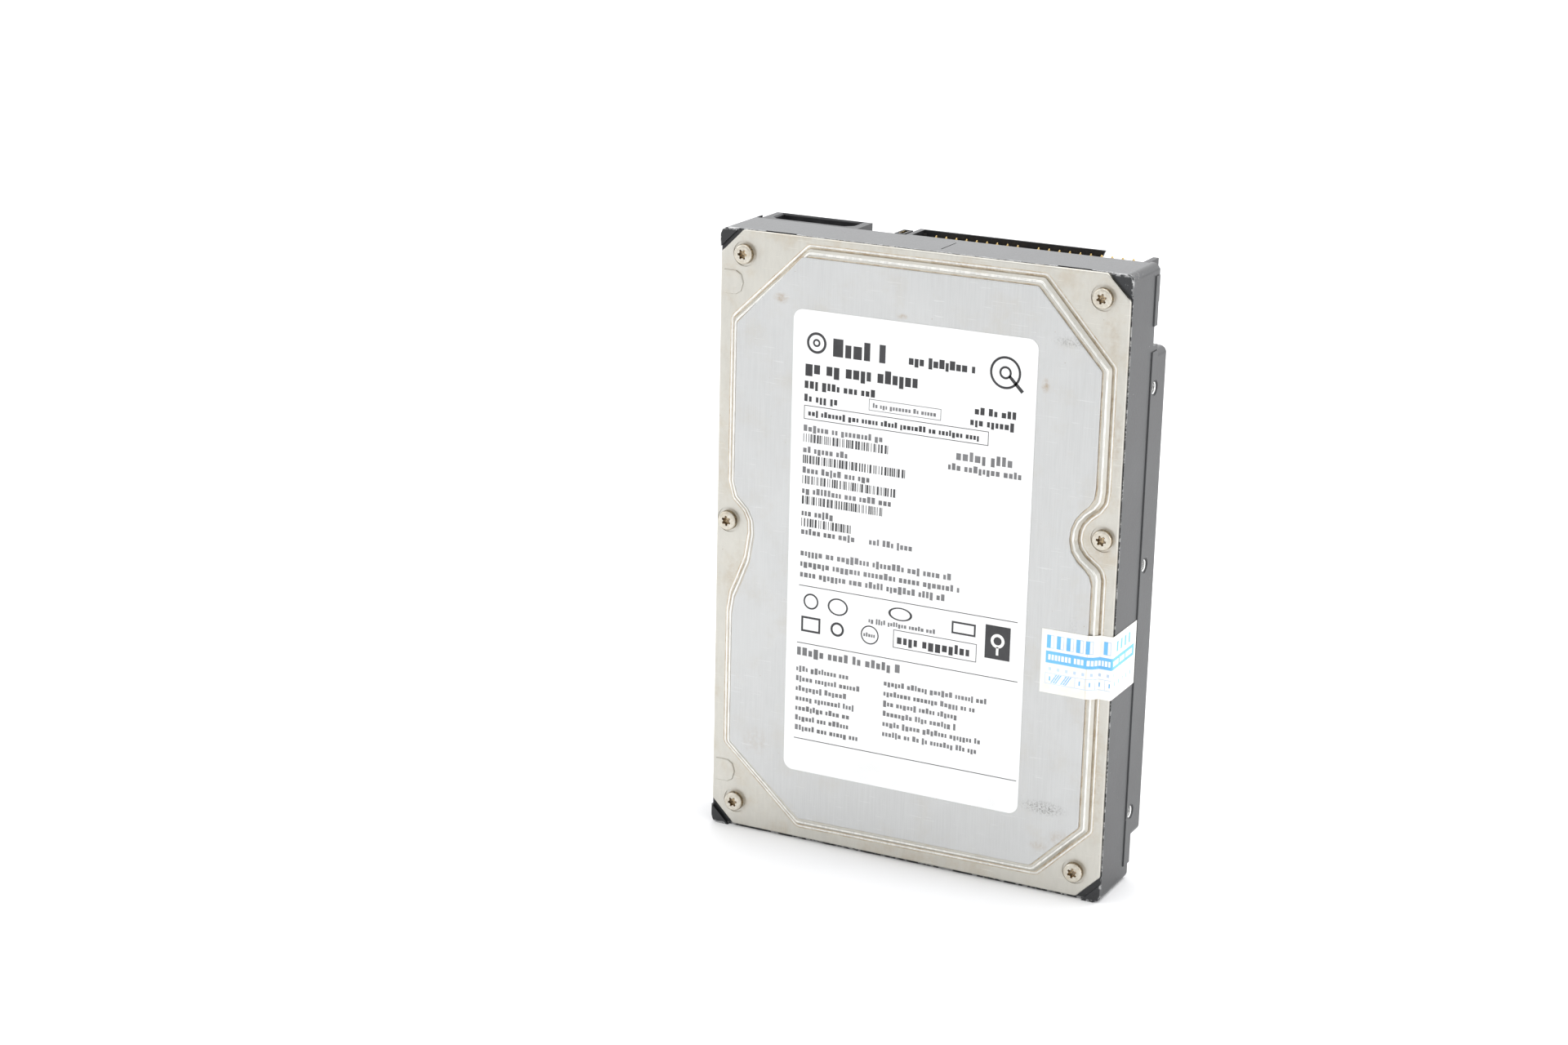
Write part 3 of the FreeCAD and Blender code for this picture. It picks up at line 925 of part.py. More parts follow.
# latch that holds the parked actuator against a knock
LP = polar(122.0, 35.6)
latch_pin = new_body("latch_pin", LP[0], LP[1])
turned(latch_pin, "pin", [(0, S["deck_floor"]), (2.2, S["deck_floor"]), (2.2, 13.2), (1.0, 13.2), (1.0, 15.7), (0, 15.7)])
latch = new_body("latch_lever", LP[0], LP[1])
H1 = polar(109.0, 32.3)
hx, hy = H1[0] - LP[0], H1[1] - LP[1]
hl = math.hypot(hx, hy)
ux, uy = hx / hl, hy / hl
pad(latch, "eye", [circle(0, 0, 2.3)], 13.3, 15.1)
pad(latch, "lever", [poly([(-uy * 1.2, ux * 1.2), (hx - uy * 0.7, hy + ux * 0.7), (hx + ux * 0.9, hy + uy * 0.9), (hx + uy * 0.7 + ux * 0.3, hy - ux * 0.7 + uy * 0.3),
                           (uy * 1.2, -ux * 1.2)]),], 13.4, 15.0)
pad(latch, "tail", [poly([(uy * 1.3, -ux * 1.3), (-uy * 1.3, ux * 1.3), (-ux * 5.5 - uy * 2.0, -uy * 5.5 + ux * 2.0), (-ux * 5.5 + uy * 2.0, -uy * 5.5 - ux * 2.0)])], 13.4, 15.0)
pocket(latch, "eye_bore", [circle(0, 0, 1.04)], 13.0, 15.5)

# ---------------------------------------------------------------- filters
recirc = new_body("recirculation_filter")
pad(recirc, "pillow", [poly([(-40.6, 91.4), (-37.4, 90.2), (-32.8, 99.0), (-35.8, 100.6)])], S["deck_floor"], 16.6)
dress(recirc, "Fillet", "pillow_corners", 0.9, lambda e: is_upright(e))
breather = new_body("breather_filter", -30.0, 112.0)
turned(breather, "disc", [(0, S["deck_floor"]), (6.2, S["deck_floor"]), (6.2, 9.8), (5.6, 10.4), (0, 10.4)])
desiccant = new_body("desiccant_pack")
pad(desiccant, "pack", [rect(-38.6, 121.0, -22.4, 131.5)], S["deck_floor"], 12.6)
dress(desiccant, "Fillet", "pack_corners", 1.2, lambda e: is_upright(e))
dress(desiccant, "Fillet", "pack_edges", 0.6, lambda e: is_level(e, 12.6))

# motor flex tail on the underside
motor_flex = new_body("motor_flex")
pad(motor_flex, "tail", [poly([(1.0, 60.6), (-13.2, 51.6), (-16.6, 56.6), (-18.2, 66.0), (-25.0, 75.0), (-26.6, 82.8), (-17.0, 82.8), (-15.4, 76.5),
                               (-9.6, 69.5), (-2.2, 66.4)])], 2.72, 2.88)
dress(motor_flex, "Fillet", "tail_corners", 0.9, lambda e: is_upright(e, [(1.0, 60.6), (-13.2, 51.6), (-16.6, 56.6), (-2.2, 66.4)]))


# ---------------------------------------------------------------- checks and files
doc.recompute()
for o in doc.Objects:
    if "Invalid" in o.State or "Error" in o.State:
        raise RuntimeError("%s (%s) did not compute: %s" % (o.Name, o.Label, o.State))
for n in NODES:
    if n.Shape.isNull() or not n.Shape.isValid() or not n.Shape.Solids:
        raise RuntimeError("%s has no valid solid" % n.Label)
os.makedirs("parts", exist_ok=True)
for n in NODES:
    n.Shape.exportStep("parts/%s.step" % n.Label)
box = None
for n in NODES:
    b = n.Shape.BoundBox
    box = b if box is None else box.united(b)
    print("%-26s solids %2d  volume %10.2f  x %7.2f %7.2f  y %7.2f %7.2f  z %7.2f %7.2f" % (
        n.Label, len(n.Shape.Solids), n.Shape.Volume, b.XMin, b.XMax, b.YMin, b.YMax, b.ZMin, b.ZMax))
print("whole", box)
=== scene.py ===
import json
import math
import random
import bpy
import bmesh
from mathutils import Matrix, Vector


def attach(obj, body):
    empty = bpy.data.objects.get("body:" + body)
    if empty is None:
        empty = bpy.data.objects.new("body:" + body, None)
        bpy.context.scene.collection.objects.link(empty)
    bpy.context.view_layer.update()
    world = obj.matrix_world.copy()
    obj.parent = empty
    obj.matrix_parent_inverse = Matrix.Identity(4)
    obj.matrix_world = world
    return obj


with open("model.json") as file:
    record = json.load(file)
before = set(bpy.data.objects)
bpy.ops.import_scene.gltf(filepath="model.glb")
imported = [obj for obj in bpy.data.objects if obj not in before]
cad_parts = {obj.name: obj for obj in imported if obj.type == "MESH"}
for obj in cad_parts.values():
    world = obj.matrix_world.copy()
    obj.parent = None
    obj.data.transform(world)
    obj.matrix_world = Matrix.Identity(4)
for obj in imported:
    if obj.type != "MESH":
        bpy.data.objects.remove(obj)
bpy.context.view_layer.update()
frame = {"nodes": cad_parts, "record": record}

NODE = frame["nodes"]
MM = 0.001


def P(x, y, t):
    """Flat frame (across, along, through the thickness, mm) to the row frame (m)."""
    return Vector((x * MM, (12.7 - t) * MM, y * MM))


# =================================================================== node helpers
class Shade:
    """Small helper that writes one node material."""

    def __init__(self, name):
        self.m = bpy.data.materials.new(name)
        self.m.use_nodes = True
        self.nt = self.m.node_tree
        self.nt.nodes.clear()
        out = self.nt.nodes.new("ShaderNodeOutputMaterial")
        self.b = self.nt.nodes.new("ShaderNodeBsdfPrincipled")
        self.nt.links.new(self.b.outputs[0], out.inputs[0])
        tc = self.nt.nodes.new("ShaderNodeTexCoord")
        self.mm = self.vscale(tc.outputs["Object"], (1000, 1000, 1000))

    def put(self, sock, v):
        if isinstance(v, bpy.types.NodeSocket):
            self.nt.links.new(v, sock)
        elif isinstance(v, (tuple, list)) and sock.type == "RGBA" and len(v) == 3:
            sock.default_value = (*v, 1)
        else:
            sock.default_value = v

    def set(self, **kw):
        for k, v in kw.items():
            self.put(self.b.inputs[k.replace("_", " ")], v)
        return self

    def vscale(self, vec, s):
        n = self.nt.nodes.new("ShaderNodeMapping")
        n.inputs["Scale"].default_value = s
        self.nt.links.new(vec, n.inputs["Vector"])
        return n.outputs[0]

    def noise(self, scale, detail=4, rough=0.55, stretch=None, offset=None, distort=0.0):
        vec = self.mm
        if stretch or offset:
            n = self.nt.nodes.new("ShaderNodeMapping")
            n.inputs["Scale"].default_value = stretch or (1, 1, 1)
            n.inputs["Location"].default_value = offset or (0, 0, 0)
            self.nt.links.new(vec, n.inputs["Vector"])
            vec = n.outputs[0]
        n = self.nt.nodes.new("ShaderNodeTexNoise")
        n.inputs["Scale"].default_value = scale
        n.inputs["Detail"].default_value = detail
        n.inputs["Roughness"].default_value = rough
        n.inputs["Distortion"].default_value = distort
        self.nt.links.new(vec, n.inputs["Vector"])
        return n.outputs["Fac"]

    def cells(self, scale, kind="F1", stretch=None, out="Distance"):
        vec = self.mm
        if stretch:
            vec = self.vscale(vec, stretch)
        n = self.nt.nodes.new("ShaderNodeTexVoronoi")
        n.feature = kind
        n.inputs["Scale"].default_value = scale
        self.nt.links.new(vec, n.inputs["Vector"])
        return n.outputs[out]

    def axis(self, a):
        n = self.nt.nodes.new("ShaderNodeSeparateXYZ")
        self.nt.links.new(self.mm, n.inputs[0])
        return n.outputs["XYZ".index(a)]

    def math(self, op, a, b=0.0, c=0.0, clamp=False):
        n = self.nt.nodes.new("ShaderNodeMath")
        n.operation = op
        n.use_clamp = clamp
        for i, v in enumerate((a, b, c)):
            if isinstance(v, bpy.types.NodeSocket):
                self.nt.links.new(v, n.inputs[i])
            else:
                n.inputs[i].default_value = v
        return n.outputs[0]

    def step(self, v, lo, hi):
        """0 below lo, 1 above hi (or the other way round when lo > hi)."""
        n = self.nt.nodes.new("ShaderNodeMapRange")
        n.interpolation_type = "SMOOTHSTEP"
        self.put(n.inputs["Value"], v)
        if lo <= hi:
            args = (lo, hi, 0.0, 1.0)
        else:
            args = (hi, lo, 1.0, 0.0)
        for k, x in zip(("From Min", "From Max", "To Min", "To Max"), args):
            n.inputs[k].default_value = x
        return n.outputs["Result"]

    def ramp(self, fac, stops):
        n = self.nt.nodes.new("ShaderNodeValToRGB")
        el = n.color_ramp.elements
        while len(el) < len(stops):
            el.new(0.5)
        for e, (p, c) in zip(el, stops):
            e.position = p
            e.color = (*c, 1) if isinstance(c, tuple) else (c, c, c, 1)
        self.nt.links.new(fac, n.inputs[0])
        return n.outputs[0]

    def mix(self, fac, a, b, kind="MIX"):
        n = self.nt.nodes.new("ShaderNodeMix")
        n.data_type = "RGBA"
        n.blend_type = kind
        self.put(n.inputs["Factor"], fac)
        for i, v in ((6, a), (7, b)):
            if isinstance(v, (int, float)):
                v = (v, v, v)
            self.put(n.inputs[i], v)
        return n.outputs[2]

    def bump(self, height, strength=0.3, distance=0.0001):
        n = self.nt.nodes.new("ShaderNodeBump")
        n.inputs["Strength"].default_value = strength
        n.inputs["Distance"].default_value = distance
        prev = self.b.inputs["Normal"].links
        if prev:
            self.nt.links.new(prev[0].from_socket, n.inputs["Normal"])
        self.nt.links.new(height, n.inputs["Height"])
        self.nt.links.new(n.outputs[0], self.b.inputs["Normal"])
        return self


def metal(name, color, rough=(0.25, 0.42), grain=(1, 1, 1), grain_scale=3.0, tint=None, tint_amount=0.4, bump=0.06, spots=0.0, metallic=1.0):
    s = Shade(name)
    streak = s.noise(grain_scale, 5, 0.6, grain)
    blotch = s.noise(0.09, 5, 0.6)
    fine = s.noise(2.2, 3, 0.6)
    dark = tuple(c * 0.80 for c in color)
    col = s.mix(s.step(streak, 0.35, 0.68), dark, color)
    col = s.mix(s.math("MULTIPLY", s.step(blotch, 0.45, 0.72), 0.35), col, tuple(min(1, c * 1.1) for c in color))
    if tint:
        col = s.mix(s.math("MULTIPLY", s.step(s.noise(0.22, 6, 0.65, offset=(7, 3, 5)), 0.54, 0.74), tint_amount), col, tint)
    if spots:
        sp = s.step(s.cells(0.9), 0.11, 0.05)
        sp = s.math("MULTIPLY", sp, s.step(s.noise(0.5, 2, 0.5, offset=(3, 9, 1)), 0.56, 0.62))
        col = s.mix(s.math("MULTIPLY", sp, spots), col, (0.18, 0.13, 0.09))
    r = s.math("MULTIPLY_ADD", s.math("ADD", s.math("MULTIPLY", streak, 0.6), s.math("MULTIPLY", fine, 0.4)), rough[1] - rough[0], rough[0])
    s.set(Base_Color=col, Metallic=metallic, Roughness=r)
    if bump:
        s.bump(streak, bump, 0.00004)
    return s.m


def plastic(name, color, rough=(0.42, 0.6), grain=3.0, bump=0.08, var=0.25, ior=1.5, dust=None):
    s = Shade(name)
    n1 = s.noise(grain, 4, 0.6)
    n2 = s.noise(0.12, 4, 0.6, offset=(4, 1, 8))
    lo = tuple(c * (1 - var) for c in color)
    hi = tuple(min(1, c * (1 + var)) for c in color)
    col = s.mix(s.step(n2, 0.3, 0.7), lo, hi)
    col = s.mix(s.math("MULTIPLY", s.step(n1, 0.4, 0.7), 0.3), col, hi)
    if dust:
        col = s.mix(s.math("MULTIPLY", s.step(s.noise(1.6, 6, 0.7, offset=(2, 2, 9)), 0.58, 0.72), dust[1]), col, dust[0])
    s.set(Base_Color=col, Roughness=s.math("MULTIPLY_ADD", n1, rough[1] - rough[0], rough[0]), IOR=ior)
    if bump:
        s.bump(n1, bump, 0.00006)
    return s.m


# =================================================================== materials
MAT = {}

# black coated casting: orange-peel gloss, dust, bare metal where the corners are knocked
s = Shade("casting_paint")
x, y, z = s.axis("X"), s.axis("Y"), s.axis("Z")
peel = s.noise(1.3, 3, 0.5)
fine = s.noise(4.5, 4, 0.6)
blot = s.noise(0.07, 5, 0.6, offset=(3, 3, 3))
col = s.mix(s.step(blot, 0.35, 0.7), (0.008, 0.0085, 0.010), (0.017, 0.019, 0.021))
dust = s.math("MULTIPLY", s.step(s.noise(1.9, 7, 0.75, offset=(9, 2, 4)), 0.60, 0.74), 0.20)
col = s.mix(dust, col, (0.20, 0.20, 0.19))
ax = s.math("ABSOLUTE", x)
edge_x = s.step(ax, 50.15, 50.52)
edge_top = s.step(z, 146.35, 146.9)
edge_low = s.step(z, 0.75, 0.15)
edge_front = s.step(y, -9.45, -9.75)
ends = s.math("MAXIMUM", edge_top, edge_low)
two = s.math("MAXIMUM", s.math("MULTIPLY", edge_x, ends), s.math("MULTIPLY", s.math("MAXIMUM", edge_x, ends), edge_front))
chip = s.step(s.noise(0.75, 6, 0.72, offset=(1, 5, 2)), 0.50, 0.56)
wear = s.math("MULTIPLY", two, chip, clamp=True)
knock = s.math("MULTIPLY", s.step(x, 47.2, 50.2), s.math("MULTIPLY", s.step(z, 143.2, 146.6), s.step(y, -2.0, -8.0)))
knock = s.math("MULTIPLY", s.math("MULTIPLY", knock, 0.7), s.step(s.noise(1.3, 8, 0.8, offset=(4, 4, 7)), 0.55, 0.62))
rim_wear = s.math("MULTIPLY", s.math("MULTIPLY", edge_top, s.step(y, -9.0, -9.6)), s.step(s.noise(0.6, 7, 0.75, offset=(6, 1, 1)), 0.50, 0.58))
wear = s.math("MAXIMUM", wear, s.math("MAXIMUM", knock, rim_wear))
scr = s.math("MULTIPLY", s.step(s.noise(0.9, 4, 0.7, (0.06, 1.0, 1.6), offset=(0, 3, 0)), 0.67, 0.70), 0.55)
scr = s.math("MULTIPLY", scr, s.step(s.noise(0.11, 2, 0.5, offset=(8, 8, 1)), 0.55, 0.65))
wear = s.math("MAXIMUM", wear, scr)
col = s.mix(wear, col, (0.42, 0.42, 0.42))
s.set(Base_Color=col, Metallic=s.math("MULTIPLY", wear, 0.9),
      Roughness=s.math("ADD", s.math("MULTIPLY_ADD", fine, 0.14, 0.27), s.math("MULTIPLY", dust, 0.5)), IOR=1.5)
s.set(Coat_Weight=0.10, Coat_Roughness=0.30)
s.bump(peel, 0.20, 0.00007)
s.bump(fine, 0.10, 0.00003)
MAT["casting_paint"] = s.m


def cover_metal(name, base, warm, warm_amount, streak_dir, rough, marks=()):
    """Nickel-plated or rolled sheet: faint rolling streaks, smudges, water marks, stains and fine scratches."""
    s = Shade(name)
    x, y, z = s.axis("X"), s.axis("Y"), s.axis("Z")
    roll = s.noise(1.1, 6, 0.62, streak_dir)
    smear = s.noise(0.045, 6, 0.62, offset=(2, 0, 6), distort=0.6)
    fine = s.noise(3.4, 4, 0.65)
    col = s.mix(s.step(roll, 0.3, 0.7), tuple(c * 0.93 for c in base), base)
    col = s.mix(s.math("MULTIPLY", s.step(smear, 0.42, 0.7), 0.45), col, tuple(min(1, c * 1.10) for c in base))
    col = s.mix(s.math("MULTIPLY", s.step(s.noise(0.10, 7, 0.7, offset=(11, 4, 2)), 0.47, 0.74), warm_amount), col, warm)
    # small dark pits and rusty specks
    pit = s.math("MULTIPLY", s.step(s.cells(0.55), 0.085, 0.04), s.step(s.noise(0.35, 2, 0.5, offset=(5, 1, 3)), 0.57, 0.63))
    col = s.mix(s.math("MULTIPLY", pit, 0.55), col, (0.30, 0.21, 0.13))
    # handling marks: (across, along, half width, half length, strength, colour)
    for k, (cx, cz, rx, rz, amount, tone) in enumerate(marks):
        u = s.math("DIVIDE", s.math("SUBTRACT", x, cx), rx)
        v = s.math("DIVIDE", s.math("SUBTRACT", z, cz), rz)
        d = s.math("SQRT", s.math("ADD", s.math("MULTIPLY", u, u), s.math("MULTIPLY", v, v)))
        fine_mark = sum(tone) < 0.5
        grainy = s.noise(2.1 if fine_mark else 0.55, 8, 0.78, offset=(3 * k, 5, 2))
        m = s.math("MULTIPLY", s.step(d, 1.0, 0.2), s.step(grainy, 0.46 if fine_mark else 0.36, 0.60 if fine_mark else 0.74))
        col = s.mix(s.math("MULTIPLY", m, amount), col, tone)
    # hairline scratches
    scratch = s.step(s.noise(0.5, 2, 0.4, (0.35, 1, 6.0), offset=(1, 2, 3)), 0.705, 0.712)
    col = s.mix(s.math("MULTIPLY", scratch, 0.35), col, tuple(min(1, c * 1.25) for c in base))
    r = s.math("ADD", s.math("MULTIPLY_ADD", roll, rough[1] - rough[0], rough[0]), s.math("MULTIPLY", s.math("SUBTRACT", smear, 0.5), 0.25))
    s.set(Base_Color=col, Metallic=1.0, Roughness=r)
    s.bump(roll, 0.05, 0.00003)
    s.bump(fine, 0.06, 0.00002)
    return s


RUST, SOOT = (0.36, 0.24, 0.12), (0.16, 0.15, 0.14)
s = cover_metal("cover_nickel", (0.60, 0.585, 0.535), (0.47, 0.39, 0.28), 0.45, (1, 1, 0.25), (0.36, 0.50),
                ((44.1, 141.4, 5.0, 5.0, 0.40, RUST), (46.4, 133.0, 3.0, 7.0, 0.35, RUST), (47.0, 86.0, 4.5, 5.0, 0.45, RUST),
                 (-44.1, 6.75, 4.5, 4.5, 0.40, RUST), (-46.0, 62.0, 3.0, 10.0, 0.30, RUST), (44.0, 6.8, 4.5, 4.5, 0.40, RUST),
                 (49.0, 110.0, 1.6, 14.0, 0.35, RUST), (-44.1, 141.4, 4.0, 4.0, 0.30, RUST), (48.6, 30.0, 1.6, 22.0, 0.25, RUST)))
MAT["cover_nickel"] = s.m
s = cover_metal("plate_steel", (0.585, 0.59, 0.585), (0.52, 0.49, 0.43), 0.34, (3.2, 1, 0.10), (0.40, 0.52),
                ((-33.6, 132.6, 2.6, 1.7, 0.75, RUST), (32.2, 120.6, 1.4, 2.2, 0.80, RUST), (-3.0, 131.9, 2.0, 0.9, 0.60, RUST),
                 (36.5, 21.5, 7.0, 2.2, 0.75, SOOT), (41.0, 14.5, 4.0, 3.0, 0.45, RUST), (35.5, 12.0, 3.0, 1.5, 0.50, RUST),
                 (38.0, 131.0, 6.0, 1.6, 0.45, SOOT), (-38.0, 24.0, 5.0, 5.0, 0.25, RUST), (41.5, 60.0, 2.5, 12.0, 0.20, SOOT)))
MAT["plate_steel"] = s.m

s = Shade("label_stock")
fib = s.noise(5.0, 5, 0.6)
sm = s.noise(0.08, 5, 0.6)
col = s.mix(s.step(sm, 0.4, 0.75), (0.90, 0.90, 0.90), (0.86, 0.86, 0.85))
scuff = s.math("MULTIPLY", s.step(s.noise(0.3, 6, 0.7, offset=(6, 2, 2)), 0.66, 0.76), 0.35)
col = s.mix(scuff, col, (0.62, 0.60, 0.55))
s.set(Base_Color=col, Roughness=s.math("MULTIPLY_ADD", sm, 0.12, 0.40), IOR=1.45)
s.bump(fib, 0.05, 0.00003)
MAT["label_stock"] = s.m

s = Shade("sticker_film")
fib = s.noise(3.0, 5, 0.6)
sm = s.noise(0.25, 5, 0.6)
crease = s.step(s.math("ABSOLUTE", s.math("SUBTRACT", s.axis("X"), 45.3)), 0.14, 0.03)
col = s.mix(s.step(sm, 0.35, 0.75), (0.905, 0.895, 0.855), (0.84, 0.825, 0.77))
col = s.mix(s.math("MULTIPLY", crease, 0.45), col, (0.62, 0.53, 0.38))
grime = s.math("MULTIPLY", s.step(s.noise(0.6, 6, 0.7, offset=(2, 7, 2)), 0.60, 0.74), 0.35)
col = s.mix(grime, col, (0.66, 0.60, 0.48))
s.set(Base_Color=col, Roughness=0.55)
s.bump(fib, 0.12, 0.00005)
MAT["sticker_film"] = s.m

# nickel screws: mottled head, brown grime in the drive
s = Shade("screw_nickel")
y = s.axis("Y")
n = s.noise(1.4, 5, 0.6)
col = s.mix(s.step(n, 0.3, 0.75), (0.54, 0.50, 0.42), (0.68, 0.65, 0.58))
col = s.mix(s.math("MULTIPLY", s.step(s.noise(0.5, 5, 0.6, offset=(3, 1, 1)), 0.5, 0.7), 0.35), col, (0.42, 0.33, 0.22))
hole = s.math("MAXIMUM", s.math("MULTIPLY", s.step(y, -12.02, -11.60), s.step(y, -10.6, -11.1)), s.math("MULTIPLY", s.step(y, 11.95, 11.72), s.step(y, 11.2, 11.4)))
col = s.mix(s.math("MULTIPLY", hole, 0.85), col, s.mix(s.step(s.noise(2.4, 3, 0.6), 0.45, 0.6), (0.15, 0.10, 0.06), (0.52, 0.38, 0.20)))
s.set(Base_Color=col, Metallic=1.0, Roughness=s.math("MULTIPLY_ADD", n, 0.2, 0.26))
s.bump(s.noise(6, 3, 0.6), 0.08, 0.00003)
MAT["screw_nickel"] = s.m

# circuit board: solder mask with the glass weave showing through, cut edge paler
s = Shade("board_laminate")
y = s.axis("Y")
weave = s.math("MULTIPLY", s.math("SINE", s.math("MULTIPLY", s.axis("X"), 9.0)), s.math("SINE", s.math("MULTIPLY", s.axis("Z"), 9.0)))
sm = s.noise(0.08, 4, 0.6)
col = s.mix(s.step(sm, 0.3, 0.7), (0.022, 0.215, 0.085), (0.035, 0.285, 0.125))
col = s.mix(s.math("MULTIPLY", s.step(weave, 0.2, 0.9), 0.16), col, (0.07, 0.36, 0.18))
side = s.math("MULTIPLY", s.step(y, 11.085, 11.04), s.step(y, 10.115, 10.16))
col = s.mix(s.math("MULTIPLY", side, 0.8), col, (0.33, 0.36, 0.18))
s.set(Base_Color=col, Roughness=s.math("MULTIPLY_ADD", sm, 0.15, 0.24), Coat_Weight=0.3, Coat_Roughness=0.15)
s.bump(weave, 0.05, 0.00003)
MAT["board_laminate"] = s.m

MAT["seal_foam"] = plastic("seal_foam", (0.03, 0.03, 0.03), (0.75, 0.9), 4.0, 0.35)
MAT["screw_dark"] = metal("screw_dark", (0.30, 0.28, 0.26), (0.3, 0.5), tint=(0.2, 0.14, 0.1))
MAT["chip_epoxy"] = plastic("chip_epoxy", (0.018, 0.018, 0.020), (0.45, 0.62), 6.0, 0.12)
MAT["crystal_can"] = metal("crystal_can", (0.66, 0.66, 0.64), (0.22, 0.36), (1, 1, 0.1), 4)
MAT["ferrite"] = plastic("ferrite", (0.035, 0.036, 0.04), (0.5, 0.7), 5.0, 0.2)
MAT["connector_black"] = plastic("connector_black", (0.013, 0.013, 0.015), (0.36, 0.50), 3.0, 0.08, ior=1.55, dust=((0.16, 0.16, 0.15), 0.25))
MAT["gold_plating"] = metal("gold_plating", (0.86, 0.62, 0.26), (0.16, 0.30), (1, 1, 0.3), 5, tint=(0.70, 0.46, 0.18), tint_amount=0.5)
MAT["tin_plating"] = metal("tin_plating", (0.74, 0.73, 0.70), (0.20, 0.34), (1, 1, 0.3), 4, tint=(0.5, 0.48, 0.44))
MAT["shunt_plastic"] = plastic("shunt_plastic", (0.016, 0.016, 0.018), (0.40, 0.55), 4.0, 0.08)
MAT["cap_black"] = plastic("cap_black", (0.020, 0.022, 0.026), (0.20, 0.30), 2.0, 0.05)
MAT["bearing_bronze"] = metal("bearing_bronze", (0.50, 0.35, 0.17), (0.35, 0.5))
MAT["ground_steel"] = metal("ground_steel", (0.66, 0.66, 0.66), (0.18, 0.30), (1, 6, 1), 2.5)
MAT["hub_aluminium"] = metal("hub_aluminium", (0.76, 0.76, 0.76), (0.22, 0.36), (1, 8, 1), 2.0)
MAT["magnet_plating"] = metal("magnet_plating", (0.62, 0.62, 0.60), (0.18, 0.30), spots=0.3)
MAT["platter_mirror"] = metal("platter_mirror", (0.82, 0.81, 0.79), (0.03, 0.07), (1, 1, 1), 1.0, bump=0.0)
MAT["clamp_steel"] = metal("clamp_steel", (0.70, 0.70, 0.70), (0.20, 0.34))
MAT["arm_aluminium"] = metal("arm_aluminium", (0.74, 0.74, 0.74), (0.26, 0.42), (1, 10, 1), 1.8)
MAT["spring_steel"] = metal("spring_steel", (0.70, 0.69, 0.66), (0.22, 0.34), (6, 1, 1), 2.0)
MAT["slider_ceramic"] = plastic("slider_ceramic", (0.06, 0.06, 0.06), (0.2, 0.35), 6, 0.05)
MAT["yoke_plating"] = metal("yoke_plating", (0.66, 0.66, 0.64), (0.20, 0.34), spots=0.35)
MAT["stop_rubber"] = plastic("stop_rubber", (0.025, 0.025, 0.025), (0.7, 0.85), 4, 0.2)
MAT["latch_plastic"] = plastic("latch_plastic", (0.74, 0.70, 0.60), (0.35, 0.5), 2, 0.05, var=0.06)
MAT["filter_cloth"] = plastic("filter_cloth", (0.84, 0.84, 0.82), (0.85, 0.95), 2.6, 0.6, var=0.06)
MAT["passive_ceramic"] = plastic("passive_ceramic", (0.33, 0.24, 0.15), (0.35, 0.5), 3, 0.1)

s = Shade("core_steel")
lam = s.math("SINE", s.math("MULTIPLY", s.axis("Y"), 18.0))
s.set(Base_Color=s.mix(s.step(lam, -0.3, 0.3), (0.16, 0.16, 0.17), (0.30, 0.30, 0.31)), Metallic=0.9, Roughness=0.45)
s.bump(lam, 0.4, 0.00008)
MAT["core_steel"] = s.m

s = Shade("copper_wire")
w1 = s.math("SINE", s.math("MULTIPLY", s.axis("Y"), 26.0))
w2 = s.noise(1.2, 4, 0.6, (6, 1, 1))
s.set(Base_Color=s.mix(s.step(w1, -0.6, 0.6), (0.42, 0.14, 0.05), (0.80, 0.36, 0.15)), Metallic=0.85, Roughness=s.math("MULTIPLY_ADD", w2, 0.2, 0.22))
s.bump(w1, 0.6, 0.00008)
MAT["copper_wire"] = s.m

# motor face: black coating with faint turned rings about the spindle
s = Shade("motor_black")
dx, dz = s.axis("X"), s.math("SUBTRACT", s.axis("Z"), 50.3)
rad = s.math("SQRT", s.math("ADD", s.math("MULTIPLY", dx, dx), s.math("MULTIPLY", dz, dz)))
rings = s.math("SINE", s.math("MULTIPLY", rad, 22.0))
blot = s.noise(0.3, 5, 0.6)
bright = s.math("MULTIPLY", s.step(rad, 15.7, 15.85), s.step(rad, 16.45, 16.3))
col = s.mix(s.step(blot, 0.35, 0.7), (0.014, 0.014, 0.016), (0.030, 0.030, 0.033))
col = s.mix(s.math("MULTIPLY", bright, 0.75), col, (0.40, 0.40, 0.42))
s.set(Base_Color=col, Metallic=s.math("MULTIPLY", bright, 0.8), Roughness=s.math("MULTIPLY_ADD", blot, 0.2, 0.30), IOR=1.55)
s.bump(rings, 0.06, 0.00003)
MAT["motor_black"] = s.m

# amber film: translucent look, mottled between two ambers under a clear coat
s = Shade("flex_film")
n = s.noise(0.6, 4, 0.6)
s.set(Base_Color=s.mix(s.step(n, 0.3, 0.7), (0.60, 0.20, 0.02), (0.80, 0.33, 0.05)), Roughness=s.math("MULTIPLY_ADD", n, 0.15, 0.22), Coat_Weight=0.5, Coat_Roughness=0.12)
s.bump(s.noise(2.0, 3, 0.5), 0.06, 0.00004)
MAT["flex_film"] = s.m

